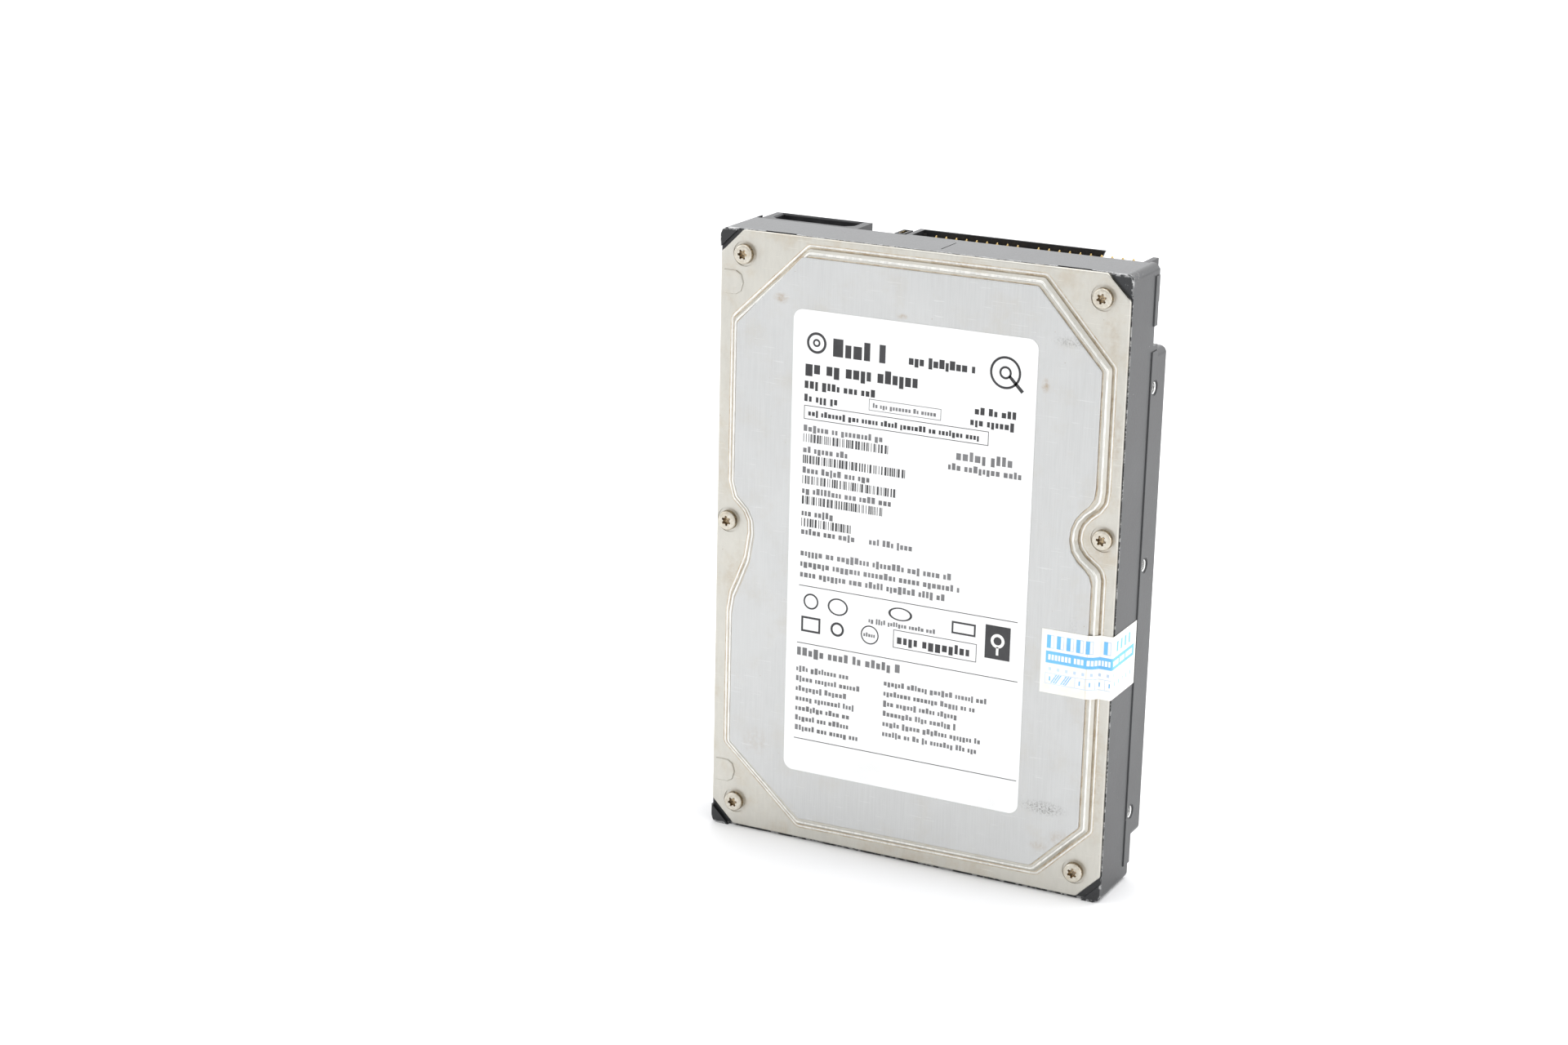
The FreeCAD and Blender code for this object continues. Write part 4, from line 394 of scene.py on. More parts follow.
# extra finishes for the pieces made here
MAT["ink_dark"] = plastic("ink_dark", (0.035, 0.035, 0.038), (0.45, 0.6), 6, 0.0, var=0.3)
MAT["ink_grey"] = plastic("ink_grey", (0.17, 0.17, 0.175), (0.5, 0.6), 8, 0.0, var=0.25)
MAT["ink_blue"] = plastic("ink_blue", (0.16, 0.50, 0.86), (0.5, 0.6), 2.5, 0.0, var=0.12)
MAT["ink_pale_blue"] = plastic("ink_pale_blue", (0.55, 0.68, 0.84), (0.5, 0.6), 2.5, 0.0, var=0.12)
MAT["ink_white"] = plastic("ink_white", (0.90, 0.90, 0.88), (0.5, 0.6), 2.5, 0.0, var=0.04)
# lighter nickel than the cover's own, for the formed beads: a painted highlight on their rounded shoulders
MAT["bead_nickel_painted_highlight"] = metal("bead_nickel_painted_highlight", (0.86, 0.85, 0.81), (0.28, 0.38), (1, 1, 0.3), 1.2, tint=(0.72, 0.64, 0.52), tint_amount=0.18, bump=0.02)
s = Shade("groove_grime")
n = s.noise(0.35, 7, 0.7)
n2 = s.noise(1.6, 5, 0.6, offset=(3, 3, 3))
col = s.mix(s.step(n, 0.36, 0.68), (0.62, 0.56, 0.46), (0.44, 0.34, 0.23))
col = s.mix(s.math("MULTIPLY", s.step(n2, 0.5, 0.7), 0.4), col, (0.70, 0.68, 0.62))
s.set(Base_Color=col, Metallic=0.75, Roughness=0.5)
s.bump(n2, 0.2, 0.00005)
MAT["groove_grime"] = s.m
MAT["bare_cut"] = metal("bare_cut", (0.80, 0.80, 0.79), (0.20, 0.34), (1, 1, 1), 5, tint=(0.45, 0.42, 0.38), tint_amount=0.4, bump=0.08)
MAT["solder"] = metal("solder", (0.78, 0.78, 0.78), (0.14, 0.28), (1, 1, 1), 3, tint=(0.55, 0.54, 0.52), bump=0.1)
MAT["trace_copper"] = plastic("trace_copper", (0.012, 0.135, 0.055), (0.22, 0.32), 3, 0.0, var=0.15)
MAT["copper_pad"] = metal("copper_pad", (0.80, 0.44, 0.22), (0.28, 0.42), (1, 1, 1), 4, tint=(0.5, 0.24, 0.1))
MAT["flex_trace"] = metal("flex_trace", (0.95, 0.52, 0.12), (0.24, 0.36), (1, 1, 1), 4, tint=(0.80, 0.36, 0.06), metallic=0.7)
MAT["flex_head"] = plastic("flex_head", (0.10, 0.045, 0.018), (0.18, 0.28), 2, 0.04, var=0.3)
MAT["plug_black"] = plastic("plug_black", (0.015, 0.015, 0.016), (0.5, 0.65), 4, 0.1)
MAT["silk_white"] = plastic("silk_white", (0.84, 0.86, 0.82), (0.55, 0.65), 6, 0.0, var=0.08)
MAT["patch_white"] = plastic("patch_white", (0.82, 0.82, 0.80), (0.45, 0.6), 3, 0.05, var=0.05)

for sub in frame["record"]["subparts"]:
    o = NODE[sub["node"]]
    o.data.materials.clear()
    o.data.materials.append(MAT[sub["material_slot"]])

# =================================================================== mesh helpers
class Build:
    def __init__(self):
        self.v, self.f = [], []

    def add(self, verts, faces):
        k = len(self.v)
        self.v += verts
        self.f += [tuple(k + i for i in f) for f in faces]

    def prism(self, pts, t0, t1):
        """Closed slab over a simple outline given in the flat frame."""
        n = len(pts)
        vs = [P(a, b, t0) for a, b in pts] + [P(a, b, t1) for a, b in pts]
        fs = [tuple(range(n)), tuple(range(2 * n - 1, n - 1, -1))]
        fs += [(i, (i + 1) % n, n + (i + 1) % n, n + i) for i in range(n)]
        self.add(vs, fs)

    def box(self, x0, y0, x1, y1, t0, t1):
        self.prism([(x0, y0), (x1, y0), (x1, y1), (x0, y1)], t0, t1)

    def frame(self, x0, y0, x1, y1, w, t0, t1):
        self.ring([(x0, y0), (x1, y0), (x1, y1), (x0, y1)], [(x0 + w, y0 + w), (x1 - w, y0 + w), (x1 - w, y1 - w), (x0 + w, y1 - w)], t0, t1)

    def ring(self, outer, inner, t0, t1):
        """Closed band between two outlines with the same count of points."""
        n = len(outer)
        vs = [P(a, b, t0) for a, b in outer] + [P(a, b, t0) for a, b in inner] + [P(a, b, t1) for a, b in outer] + [P(a, b, t1) for a, b in inner]
        fs = []
        for i in range(n):
            j = (i + 1) % n
            fs += [(i, j, n + j, n + i), (2 * n + i, 3 * n + i, 3 * n + j, 2 * n + j), (i, 2 * n + i, 2 * n + j, j), (n + i, n + j, 3 * n + j, 3 * n + i)]
        self.add(vs, fs)

    def annulus(self, cx, cy, r0, r1, t0, t1, n=28, sx=1.0):
        o = [(cx + sx * r1 * math.cos(2 * math.pi * i / n), cy + r1 * math.sin(2 * math.pi * i / n)) for i in range(n)]
        c = [(cx + sx * r0 * math.cos(2 * math.pi * i / n), cy + r0 * math.sin(2 * math.pi * i / n)) for i in range(n)]
        self.ring(o, c, t0, t1)

    def disc(self, cx, cy, r, t0, t1, n=24):
        self.prism([(cx + r * math.cos(2 * math.pi * i / n), cy + r * math.sin(2 * math.pi * i / n)) for i in range(n)], t0, t1)

    def lathe(self, origin, axis, profile, n=32, closed=True):
        """Turns a closed (radius, height) outline about an axis through origin, both in mm in the row frame."""
        a = Vector(axis).normalized()
        u = a.orthogonal().normalized()
        w = a.cross(u)
        k = len(profile)
        vs = []
        for i in range(n):
            c, s_ = math.cos(2 * math.pi * i / n), math.sin(2 * math.pi * i / n)
            for r, h in profile:
                vs.append((Vector(origin) + a * h + (u * c + w * s_) * r) * MM)
        fs = []
        for i in range(n):
            j = (i + 1) % n
            for m in range(k if closed else k - 1):
                q = (m + 1) % k
                fs.append((i * k + m, i * k + q, j * k + q, j * k + m))
        self.add(vs, fs)

    def dome(self, cx, cy, r, t_base, height, n=20, rings=5, up=1, squash=1.0):
        """Rounded blob on a flat seat."""
        vs, fs = [], []
        for k in range(rings):
            a = math.pi / 2 * k / rings
            for i in range(n):
                b = 2 * math.pi * i / n
                vs.append(P(cx + r * math.cos(a) * math.cos(b) * squash, cy + r * math.cos(a) * math.sin(b), t_base + up * height * math.sin(a)))
        vs.append(P(cx, cy, t_base + up * height))
        for k in range(rings - 1):
            for i in range(n):
                j = (i + 1) % n
                fs.append((k * n + i, k * n + j, (k + 1) * n + j, (k + 1) * n + i))
        for i in range(n):
            fs.append(((rings - 1) * n + i, (rings - 1) * n + (i + 1) % n, len(vs) - 1))
        fs.append(tuple(range(n - 1, -1, -1)))
        self.add(vs, fs)

    def sweep(self, path, section, closed=True):
        """Section (sideways, up) swept along a flat-frame path of (x, y, t)."""
        n, k = len(path), len(section)
        vs, fs = [], []
        for i, (px, py, pt) in enumerate(path):
            a = path[(i - 1) % n] if closed or i > 0 else path[i]
            b = path[(i + 1) % n] if closed or i < n - 1 else path[i]
            d = Vector((b[0] - a[0], b[1] - a[1]))
            d.normalize()
            side = Vector((d.y, -d.x))
            for sx, su in section:
                vs.append(P(px + side.x * sx, py + side.y * sx, pt + su))
        for i in range(n if closed else n - 1):
            j = (i + 1) % n
            for m in range(k):
                q = (m + 1) % k
                fs.append((i * k + m, i * k + q, j * k + q, j * k + m))
        if not closed:
            fs += [tuple(range(k)), tuple(range((n - 1) * k + k - 1, (n - 1) * k - 1, -1))]
        self.add(vs, fs)

    def make(self, name, mat, body="chassis", slot=None, smooth=False, bevel=0.0):
        me = bpy.data.meshes.new(name)
        me.from_pydata([tuple(v) for v in self.v], [], self.f)
        bm = bmesh.new()
        bm.from_mesh(me)
        bmesh.ops.recalc_face_normals(bm, faces=bm.faces)
        bm.to_mesh(me)
        bm.free()
        me.materials.append(MAT[mat])
        if smooth:
            me.polygons.foreach_set("use_smooth", [True] * len(me.polygons))
            me.set_sharp_from_angle(angle=math.radians(38))
        o = bpy.data.objects.new(name, me)
        bpy.context.scene.collection.objects.link(o)
        if bevel:
            b = o.modifiers.new("edge", "BEVEL")
            b.width = bevel * MM
            b.segments = 2
            b.limit_method = "ANGLE"
        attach(o, body)
        return o


def rounded(points, r, n=6):
    """Closed outline with its corners rounded to radius r (or as much as fits)."""
    out = []
    m = len(points)
    for i in range(m):
        p0, p1, p2 = Vector(points[i - 1]), Vector(points[i]), Vector(points[(i + 1) % m])
        a, b = (p0 - p1), (p2 - p1)
        la, lb = a.length, b.length
        a.normalize(); b.normalize()
        ang = a.angle(b)
        if ang > math.pi - 0.02:
            out.append(tuple(p1))
            continue
        cut = min(r / math.tan(ang / 2), la * 0.45, lb * 0.45)
        rr = cut * math.tan(ang / 2)
        mid = (a + b).normalized()
        c = p1 + mid * (rr / math.sin(ang / 2))
        s0, s1 = p1 + a * cut - c, p1 + b * cut - c
        t = s0.angle(s1)
        sign = 1 if (s0.x * s1.y - s0.y * s1.x) > 0 else -1
        for k in range(n + 1):
            f = sign * t * k / n
            out.append((c.x + s0.x * math.cos(f) - s0.y * math.sin(f), c.y + s0.x * math.sin(f) + s0.y * math.cos(f)))
    return out


def offset(points, d):
    """Moves a closed, anticlockwise outline outwards by d."""
    out = []
    n = len(points)
    for i in range(n):
        p0, p1, p2 = Vector(points[i - 1]), Vector(points[i]), Vector(points[(i + 1) % n])
        e0, e1 = (p1 - p0).normalized(), (p2 - p1).normalized()
        n0, n1 = Vector((e0.y, -e0.x)), Vector((e1.y, -e1.x))
        m = n0 + n1
        k = 1 + n0.dot(n1)
        out.append((p1.x + m.x * d / k, p1.y + m.y * d / k))
    return out


# =================================================================== cover: formed bead and foot bead with a painted highlight, grime line and plate edge
FIELD = [(-27.0, 4.3), (34.5, 4.9), (47.1, 17.4), (47.1, 77.4), (46.7, 79.05), (45.75, 80.2), (44.5, 81.05), (42.95, 82.25), (41.5, 84.05), (41.0, 86.05), (41.2, 88.1), (41.95, 89.95), (43.35, 91.6), (45.5, 93.4), (46.8, 95.4), (47.1, 98.0),
         (47.1, 126.0), (30.4, 144.4), (-27.4, 144.4), (-46.4, 126.0), (-46.4, 87.0), (-45.3, 83.2), (-42.4, 80.4), (-41.2, 78.0), (-41.0, 75.0), (-42.0, 68.6), (-44.1, 63.2), (-45.7, 59.4), (-46.4, 55.0), (-46.4, 21.8)]
PLATE = [(-26.2, 6.2), (33.7, 6.7), (45.2, 18.2), (45.2, 76.2), (44.6, 78.2), (43.4, 79.6), (41.6, 81.1), (40.0, 83.4), (39.5, 86.1), (39.75, 88.6), (40.7, 91.0), (42.3, 93.0), (43.9, 94.5), (44.9, 96.3), (45.2, 98.9),
         (45.2, 125.3), (29.4, 142.6), (-28.6, 142.6), (-45.0, 125.4), (-45.0, 87.3), (-43.9, 83.9), (-41.1, 81.1), (-39.7, 78.4), (-39.4, 74.9), (-40.5, 68.1), (-42.7, 62.5), (-44.3, 58.8), (-45.0, 54.6), (-45.0, 22.6)]
half_round = [(-0.30, -0.02), (-0.26, 0.09), (-0.15, 0.16), (0.0, 0.19), (0.15, 0.16), (0.26, 0.09), (0.30, -0.02)]
# bead on the step's shoulder, in the lighter nickel: a painted highlight
b = Build()
b.sweep([(x, y, 24.6) for x, y in rounded(offset(FIELD, -0.85), 1.4)], half_round)
b.make("cover_bead_painted_highlight", "bead_nickel_painted_highlight", slot="cover_nickel", smooth=True)
b = Build()
b.sweep([(x, y, 23.4) for x, y in rounded(offset(FIELD, 0.56), 1.6)], [(-0.58, -0.02), (-0.50, 0.025), (0.50, 0.025), (0.58, -0.02)])
b.make("cover_foot_grime", "groove_grime", slot="cover_nickel", smooth=True)
# narrow bead at the step's foot, in the lighter nickel: a painted highlight
b = Build()
b.sweep([(x, y, 23.4) for x, y in rounded(offset(FIELD, 0.66), 1.6)], [(-0.25, 0.0), (-0.16, 0.07), (0.0, 0.10), (0.16, 0.07), (0.25, 0.0)])
b.make("cover_foot_painted_highlight", "bead_nickel_painted_highlight", slot="cover_nickel", smooth=True)
b = Build()
b.sweep([(x, y, 24.6) for x, y in rounded(offset(PLATE, 0.16), 1.3)], [(-0.18, -0.02), (-0.14, 0.08), (0.03, 0.05), (0.14, -0.02)])
b.make("plate_edge_grime", "groove_grime", slot="cover_nickel", smooth=True)

# =================================================================== label printing: plain bars only
rng = random.Random(7)
T0, T1 = 25.385, 25.415
dark, grey = Build(), Build()


def words(b, x0, x1, y, h, bold=False, gap=None):
    """A line of print stands as small plain blocks in word-like groups."""
    x = x0
    while x < x1 - 0.3 * h:
        for _ in range(rng.randint(2, 8)):
            w = h * rng.uniform(0.34, 0.62)
            if x + w > x1:
                break
            tall = rng.choice((0.72, 0.72, 0.72, 1.0))
            low = rng.choice((0.0, 0.0, 0.0, 0.0, -0.22))
            b.box(x, y - h / 2 + h * low, x + w, y - h / 2 + h * tall, T0, T1)
            x += w + h * (0.13 if bold else 0.20)
        x += gap or h * 0.42


def barcode(b, x0, x1, y0, y1):
    x = x0
    while x < x1:
        w = rng.choice((0.16, 0.16, 0.32, 0.48))
        b.box(x, y0, min(x + w, x1), y1, T0, T1)
        x += w + rng.choice((0.18, 0.18, 0.34, 0.5))


# emblem: plain disc and arm
dark.annulus(-24.2, 123.2, 1.9, 2.5, T0, T1, 32)
dark.annulus(-24.2, 123.2, 0.5, 0.95, T0, T1, 20)
words(dark, -20.0, -6.2, 122.7, 4.2, True)
words(dark, -26.9, 1.8, 117.4, 3.0, True)
words(dark, -1.0, 16.6, 122.2, 2.1, True)
dark.annulus(22.6, 122.3, 3.2, 3.75, T0, T1, 36)
dark.annulus(22.6, 122.3, 1.0, 1.5, T0, T1, 24)
dark.prism([(26.6, 118.0), (27.2, 118.6), (23.8, 121.9), (23.3, 121.4)], T0, T1)
words(dark, -27.0, -9.0, 113.2, 1.75)
words(dark, -27.0, -17.0, 110.1, 1.75)
grey.frame(-10.6, 109.2, 7.4, 111.9, 0.14, T0, T1)
words(grey, -9.6, 6.6, 110.5, 1.1)
words(dark, 15.6, 26.0, 112.7, 1.7)
words(dark, 14.6, 25.8, 110.1, 1.7)
dark.frame(-27.0, 105.0, 19.2, 108.3, 0.16, T0, T1)
words(dark, -25.9, 18.0, 106.6, 1.35)
for y, x1, bx in ((102.9, -5.8, -5.3), (97.8, -15.0, -1.0), (92.9, -9.6, -3.1), (88.0, -4.2, -6.2), (82.6, -18.6, -14.0)):
    words(grey, -27.0, x1, y, 1.5)
    barcode(dark, -27.0, bx, y - 3.35, y - 1.35)
words(grey, -27.0, -13.0, 78.1, 1.5)
words(grey, -9.5, 2.8, 78.2, 1.5)
words(grey, 11.5, 25.4, 101.8, 2.2)
words(grey, 9.6, 27.6, 99.0, 1.6)
for y, x1 in ((72.9, 12.2), (70.3, 14.2), (67.7, 10.7)):
    words(grey, -27.0, x1, y, 1.55)
dark.box(-27.2, 64.75, 28.2, 64.93, T0, T1)
dark.box(-27.4, 50.6, 28.8, 50.78, T0, T1)
dark.box(-27.6, 26.7, 29.6, 26.88, T0, T1)
# row of plain outline marks
dark.annulus(-24.0, 61.2, 1.55, 1.95, T0, T1, 28)
dark.annulus(-17.0, 61.0, 1.75, 2.1, T0, T1, 28, sx=1.25)
dark.annulus(-1.0, 61.9, 1.3, 1.6, T0, T1, 28, sx=1.9)
words(grey, -9.0, 8.0, 59.2, 1.1)
dark.frame(-26.4, 53.6, -21.4, 57.4, 0.5, T0, T1)
dark.annulus(-17.0, 55.5, 1.2, 1.75, T0, T1, 28)
dark.annulus(-8.6, 55.6, 2.0, 2.3, T0, T1, 32)
words(grey, -10.2, -7.0, 55.6, 1.0)
dark.frame(-2.6, 53.6, 18.4, 58.0, 0.16, T0, T1)
words(dark, -1.6, 17.4, 55.8, 2.2)
dark.frame(12.0, 59.6, 18.0, 62.6, 0.45, T0, T1)
dark.box(20.4, 55.2, 26.6, 63.2, T0, T1)
words(grey, -27.3, 0.4, 48.6, 2.0)
for i in range(7):
    words(grey, -27.4, -13.0 + rng.uniform(-1.5, 3.6), 44.3 - 2.46 * i, 1.3)
for i in range(6):
    words(grey, -4.6, 15.5 + rng.uniform(-2.0, 7.6), 44.6 - 2.5 * i, 1.3)
dark.make("label_print_dark", "ink_dark", slot="label_stock")
grey.make("label_print_grey", "ink_grey", slot="label_stock")
b = Build()
b.annulus(23.5, 59.6, 1.0, 1.7, 25.41, 25.425, 28)
b.box(23.2, 56.2, 23.8, 58.2, 25.41, 25.425)
b.make("label_print_light", "ink_white", slot="label_stock")

# =================================================================== sticker printing
blue, pale, white = Build(), Build(), Build()
ST0, ST1 = 25.365, 25.395
STRIP = [(34.2, 25.38), (45.34, 25.38), (46.56, 24.79), (47.3, 24.02), (47.66, 23.56), (50.46, 23.56), (50.70, 23.3), (50.70, 8.95)]
RUN = [0.0]
for (ax0, at0), (ax1, at1) in zip(STRIP, STRIP[1:]):
    RUN.append(RUN[-1] + math.hypot(ax1 - ax0, at1 - at0))


def wrap(b, s0, s1, y0, y1, lift=0.03):
    """A block of print between two distances along the folded strip, lying on its surface."""
    def at(d):
        for i in range(len(STRIP) - 1):
            if d <= RUN[i + 1] or i == len(STRIP) - 2:
                f = (d - RUN[i]) / (RUN[i + 1] - RUN[i])
                (xa, ta), (xb, tb) = STRIP[i], STRIP[i + 1]
                n = Vector((ta - tb, xb - xa)).normalized()
                return Vector((xa + (xb - xa) * f, ta + (tb - ta) * f)), n
    line = [at(s0 + 1e-4)]
    for i in range(1, len(STRIP) - 1):
        if s0 + 0.02 < RUN[i] < s1 - 0.02:
            n = (at(RUN[i] - 1e-3)[1] + at(RUN[i] + 1e-3)[1]).normalized()
            line.append((Vector(STRIP[i]), n))
    line.append(at(s1 - 1e-4))
    vs, fs = [], []
    for q, n in line:
        lo, hi = q - n * 0.015, q + n * lift
        vs += [P(lo.x, y0, lo.y), P(hi.x, y0, hi.y), P(hi.x, y1, hi.y), P(lo.x, y1, lo.y)]
    m = len(line)
    for i in range(m - 1):
        k = 4 * i
        fs += [(k + c, k + (c + 1) % 4, k + 4 + (c + 1) % 4, k + 4 + c) for c in range(4)]
    fs += [(0, 1, 2, 3), (4 * m - 1, 4 * m - 2, 4 * m - 3, 4 * m - 4)]
    b.add(vs, fs)


rng = random.Random(17)
for d in (1.3, 3.7, 6.05, 8.4, 10.7, 15.0):
    wrap(blue, d, d + 0.95, 60.2, 63.3)
    wrap(pale, d + 0.95, d + 1.75, 63.16, 63.3)
    wrap(pale, d + 0.95, d + 1.75, 60.2, 60.34)
    wrap(pale, d + 1.62, d + 1.75, 60.34, 63.16)
for d in (19.4, 21.9, 24.3, 26.8):
    wrap(blue, d, d + 0.9, 60.6, 63.0)
    wrap(pale, d + 0.9, d + 1.5, 60.6, 60.75)
    wrap(pale, d + 0.9, d + 1.5, 62.85, 63.0)
wrap(blue, 1.2, 30.4, 56.7, 59.5)
d = 1.8
while d < 29.2:
    for _ in range(rng.randint(3, 7)):
        w = rng.uniform(0.45, 0.75)
        if d + w < 29.6:
            wrap(white, d, d + w, 57.45, 58.75, 0.042)
        d += w + 0.24
    d += 0.55
for i in range(14):
    wrap(pale, 2.0 + 2.0 * i, 2.6 + 2.0 * i, 54.95, 55.65)
wrap(pale, 1.2, 30.4, 54.2, 54.3)
wrap(pale, 1.2, 30.4, 51.7, 51.8)
for i in range(13):
    wrap(pale, 1.2 + 2.4 * i, 1.3 + 2.4 * i, 51.8, 54.2)
for i in range(12):
    if i not in (1, 2):
        wrap(blue, 2.2 + 2.4 * i, 2.5 + 2.4 * i, 52.5, 53.5)
# two cells struck out with a pen
for c in (38.1, 40.5):
    for k in (-0.55, 0.0, 0.55):
        blue.prism([(c - 0.75 + k, 52.0), (c - 0.53 + k, 52.0), (c + 0.75 + k, 54.1), (c + 0.53 + k, 54.1)], ST0, ST1 + 0.01)
blue.make("sticker_print_blue", "ink_blue", slot="sticker_film")
pale.make("sticker_print_pale", "ink_pale_blue", slot="sticker_film")
white.make("sticker_print_white", "ink_white", slot="sticker_film")

# =================================================================== tapped holes: bright mouth and thread
b = Build()
thread = [(1.43, -0.30)]
for i in range(11):
    thread += [(1.16, -0.45 - 0.36 * i), (1.38, -0.63 - 0.36 * i)]
thread += [(1.43, -4.5)]
mouth = [(1.46, -0.52), (1.86, -0.08), (1.92, -0.01), (1.97, -0.03), (1.52, -0.58)]
for sx in (1, -1):
    for L in (118.5, 76.9, 16.9):
        b.lathe((50.8 * sx, 6.35, L), (sx, 0, 0), thread, 28)
        b.lathe((50.8 * sx, 6.35, L), (sx, 0, 0), mouth, 36)
for sx in (1, -1):
    for L in (105.72, 61.27):
        b.lathe((47.625 * sx, 12.7, L), (0, 1, 0), [(r, h * 0.9) for r, h in thread], 28)
        b.lathe((47.625 * sx, 12.7, L), (0, 1, 0), mouth, 36)
b.make("hole_threads", "bare_cut", slot="casting_paint", smooth=True)

# =================================================================== motor side details
b = Build()
b.lathe((0, 12.7 - 4.05, 50.3), (0, 1, 0), [(17.2, -0.02), (17.2, 0.06), (17.45, 0.14), (19.3, 0.14), (19.55, 0.06), (19.55, -0.02)], 96)
b.make("motor_ring_face", "casting_paint", slot="casting_paint", smooth=True)
b = Build()
b.lathe((0, 12.7 - 2.9, 50.3), (0, 1, 0), [(16.55, -0.65), (16.62, -0.35), (16.80, -0.30), (16.95, -0.65), (16.95, -1.0), (16.55, -1.0)], 96)
b.make("motor_bright_ring", "bare_cut", slot="ground_steel", smooth=True)

# motor flex: dark head, gold pads, solder blobs and traces
SY = 50.3
ang = math.atan2(51.6 - 60.6, -13.2 - 1.0)
ux, uy = math.cos(ang), math.sin(ang)
vx, vy = -uy, ux
if vy < 0:
    vx, vy = -vx, -vy
c0 = ((1.0 - 13.2) / 2, (60.6 + 51.6) / 2)


def F(a, b_):
    """a along the flex head's lower edge, b_ up the tail."""
    return (c0[0] + ux * a + vx * b_, c0[1] + uy * a + vy * b_)


b = Build()
b.prism([F(-7.9, 0.4), F(7.9, 0.4), F(7.9, 3.6), F(-7.9, 3.6)][::1], 2.66, 2.73)
b.make("flex_head_cover", "flex_head", slot="flex_film")
pads, blobs, lines = Build(), Build(), Build()
SOL = [F(-5.7 + 3.8 * i, 1.9) for i in range(4)]
for i, (px, py) in enumerate(SOL):
    pads.annulus(px, py, 0.0001, 1.45, 2.60, 2.68, 24)
    blobs.dome(px, py, 1.15, 2.62, 0.55, up=-1)
for i in range(4):
    a = -5.4 + 3.6 * i
    pads.prism([F(a - 1.2, 4.5), F(a + 1.2, 4.5), F(a + 1.2, 6.6), F(a - 1.2, 6.6)], 2.62, 2.73)
TAIL = [(-18.2, 71.0), (-21.0, 75.5), (-21.9, 82.6)]
for i in range(4):
    a = -5.4 + 3.6 * i
    p = [F(a, 6.6), F(a * 0.62 + 0.6, 10.5)]
    o = 1.9 * (1.5 - i)
    q = [(-15.2 + 0.55 * o, 68.6 + 0.75 * o * -1), (-20.6 + 0.9 * o, 76.4 - 0.25 * o), (-21.8 + 1.0 * o, 82.5)]
    pts = p + q
    lines.sweep([(x, y, 2.70) for x, y in pts], [(-0.42, -0.07), (-0.42, 0.03), (0.42, 0.03), (0.42, -0.07)], closed=False)
pads.make("flex_pads", "gold_plating", slot="gold_plating", bevel=0.03)
blobs.make("flex_solder", "solder", slot="tin_plating", smooth=True)
lines.make("flex_traces", "flex_trace", slot="flex_film")

# =================================================================== circuit board face
BOUT = 1.6
BOARD = [(-46.4, 136.4), (-46.4, 129.0), (-42.8, 128.2), (-42.8, 111.0), (-38.9, 106.6), (-38.9, 84.5), (-34.2, 79.8), (-13.5, 79.8),
         (24.5, 103.5), (38.6, 103.5), (42.8, 108.0), (42.8, 128.2), (46.4, 129.0), (46.4, 136.4)]
BOSS = [(-36.0, 128.5), (36.5, 128.5), (-2.0, 112.5), (-27.0, 86.5), (31.5, 109.5)]


def inside(x, y, margin=1.2):
    hit = False
    n = len(BOARD)
    for i in range(n):
        (x1, y1), (x2, y2) = BOARD[i], BOARD[(i + 1) % n]
        if (y1 > y) != (y2 > y) and x < (x2 - x1) * (y - y1) / (y2 - y1) + x1:
            hit = not hit
        d = Vector((x2 - x1, y2 - y1))
        t = max(0, min(1, ((x - x1) * d.x + (y - y1) * d.y) / d.length_squared))
        if math.hypot(x - x1 - t * d.x, y - y1 - t * d.y) < margin:
            return False
    return hit and all(math.hypot(x - a, y - c) > 3.9 for a, c in BOSS)


PATCH = [(-26.0, 114.6), (-6.5, 117.6), (-7.0, 121.2), (-26.5, 118.2)]


def off_patch(x, y):
    return not (-27.5 < x < -5.5 and 113.5 < y < 122.2)


# test points: copper dot with a white printed ring
rng = random.Random(21)
spots = []
tries = 0
while len(spots) < 92 and tries < 6000:
    tries += 1
    x, y = rng.uniform(-45, 45), rng.uniform(80, 132)
    if inside(x, y, 1.6) and off_patch(x, y) and all(math.hypot(x - a, y - c) > 2.1 for a, c in spots):
        spots.append((x, y))
cop, silk = Build(), Build()
for i, (x, y) in enumerate(spots):
    r = 0.42 if i % 3 else 0.55
    cop.annulus(x, y, 0.16, r, BOUT - 0.035, BOUT + 0.01, 14)
    if i % 5 != 0:
        silk.annulus(x, y, r + 0.16, r + 0.28, BOUT - 0.03, BOUT + 0.01, 20)
for x, y in BOSS:
    cop.annulus(x, y, 2.75, 3.6, BOUT - 0.04, BOUT + 0.01, 36)
# small printed marks beside the test points, plain dashes
for x, y in spots[::2]:
    if inside(x + 1.9, y, 0.8) and off_patch(x + 1.5, y):
        for k in range(3):
            silk.box(x + 1.05 + 0.42 * k, y - 0.32, x + 1.33 + 0.42 * k, y + 0.32, BOUT - 0.03, BOUT + 0.01)
# printed outlines
silk.ring([(1.2, 93.0), (9.6, 98.1), (5.6, 104.6), (-2.8, 99.5)], [(1.35, 93.25), (9.3, 98.15), (5.5, 104.3), (-2.5, 99.45)], BOUT - 0.03, BOUT + 0.01)
silk.frame(5.0, 112.6, 23.0, 130.0, 0.16, BOUT - 0.03, BOUT + 0.01)
silk.frame(-41.0, 113.0, -31.5, 122.5, 0.16, BOUT - 0.03, BOUT + 0.01)
silk.frame(-20.9, 123.2, -11.0, 131.0, 0.16, BOUT - 0.03, BOUT + 0.01)
cop.make("board_test_points", "copper_pad", slot="board_laminate")
silk.make("board_silkscreen", "silk_white", slot="board_laminate")

# traces: runs at 0, 45 and 90 degrees in bundles
rng = random.Random(5)
tr = Build()


def run(points, w):
    tr.sweep([(x, y, BOUT) for x, y in points], [(-w / 2, -0.03), (-w / 2, 0.02), (w / 2, 0.02), (w / 2, -0.03)], closed=False)


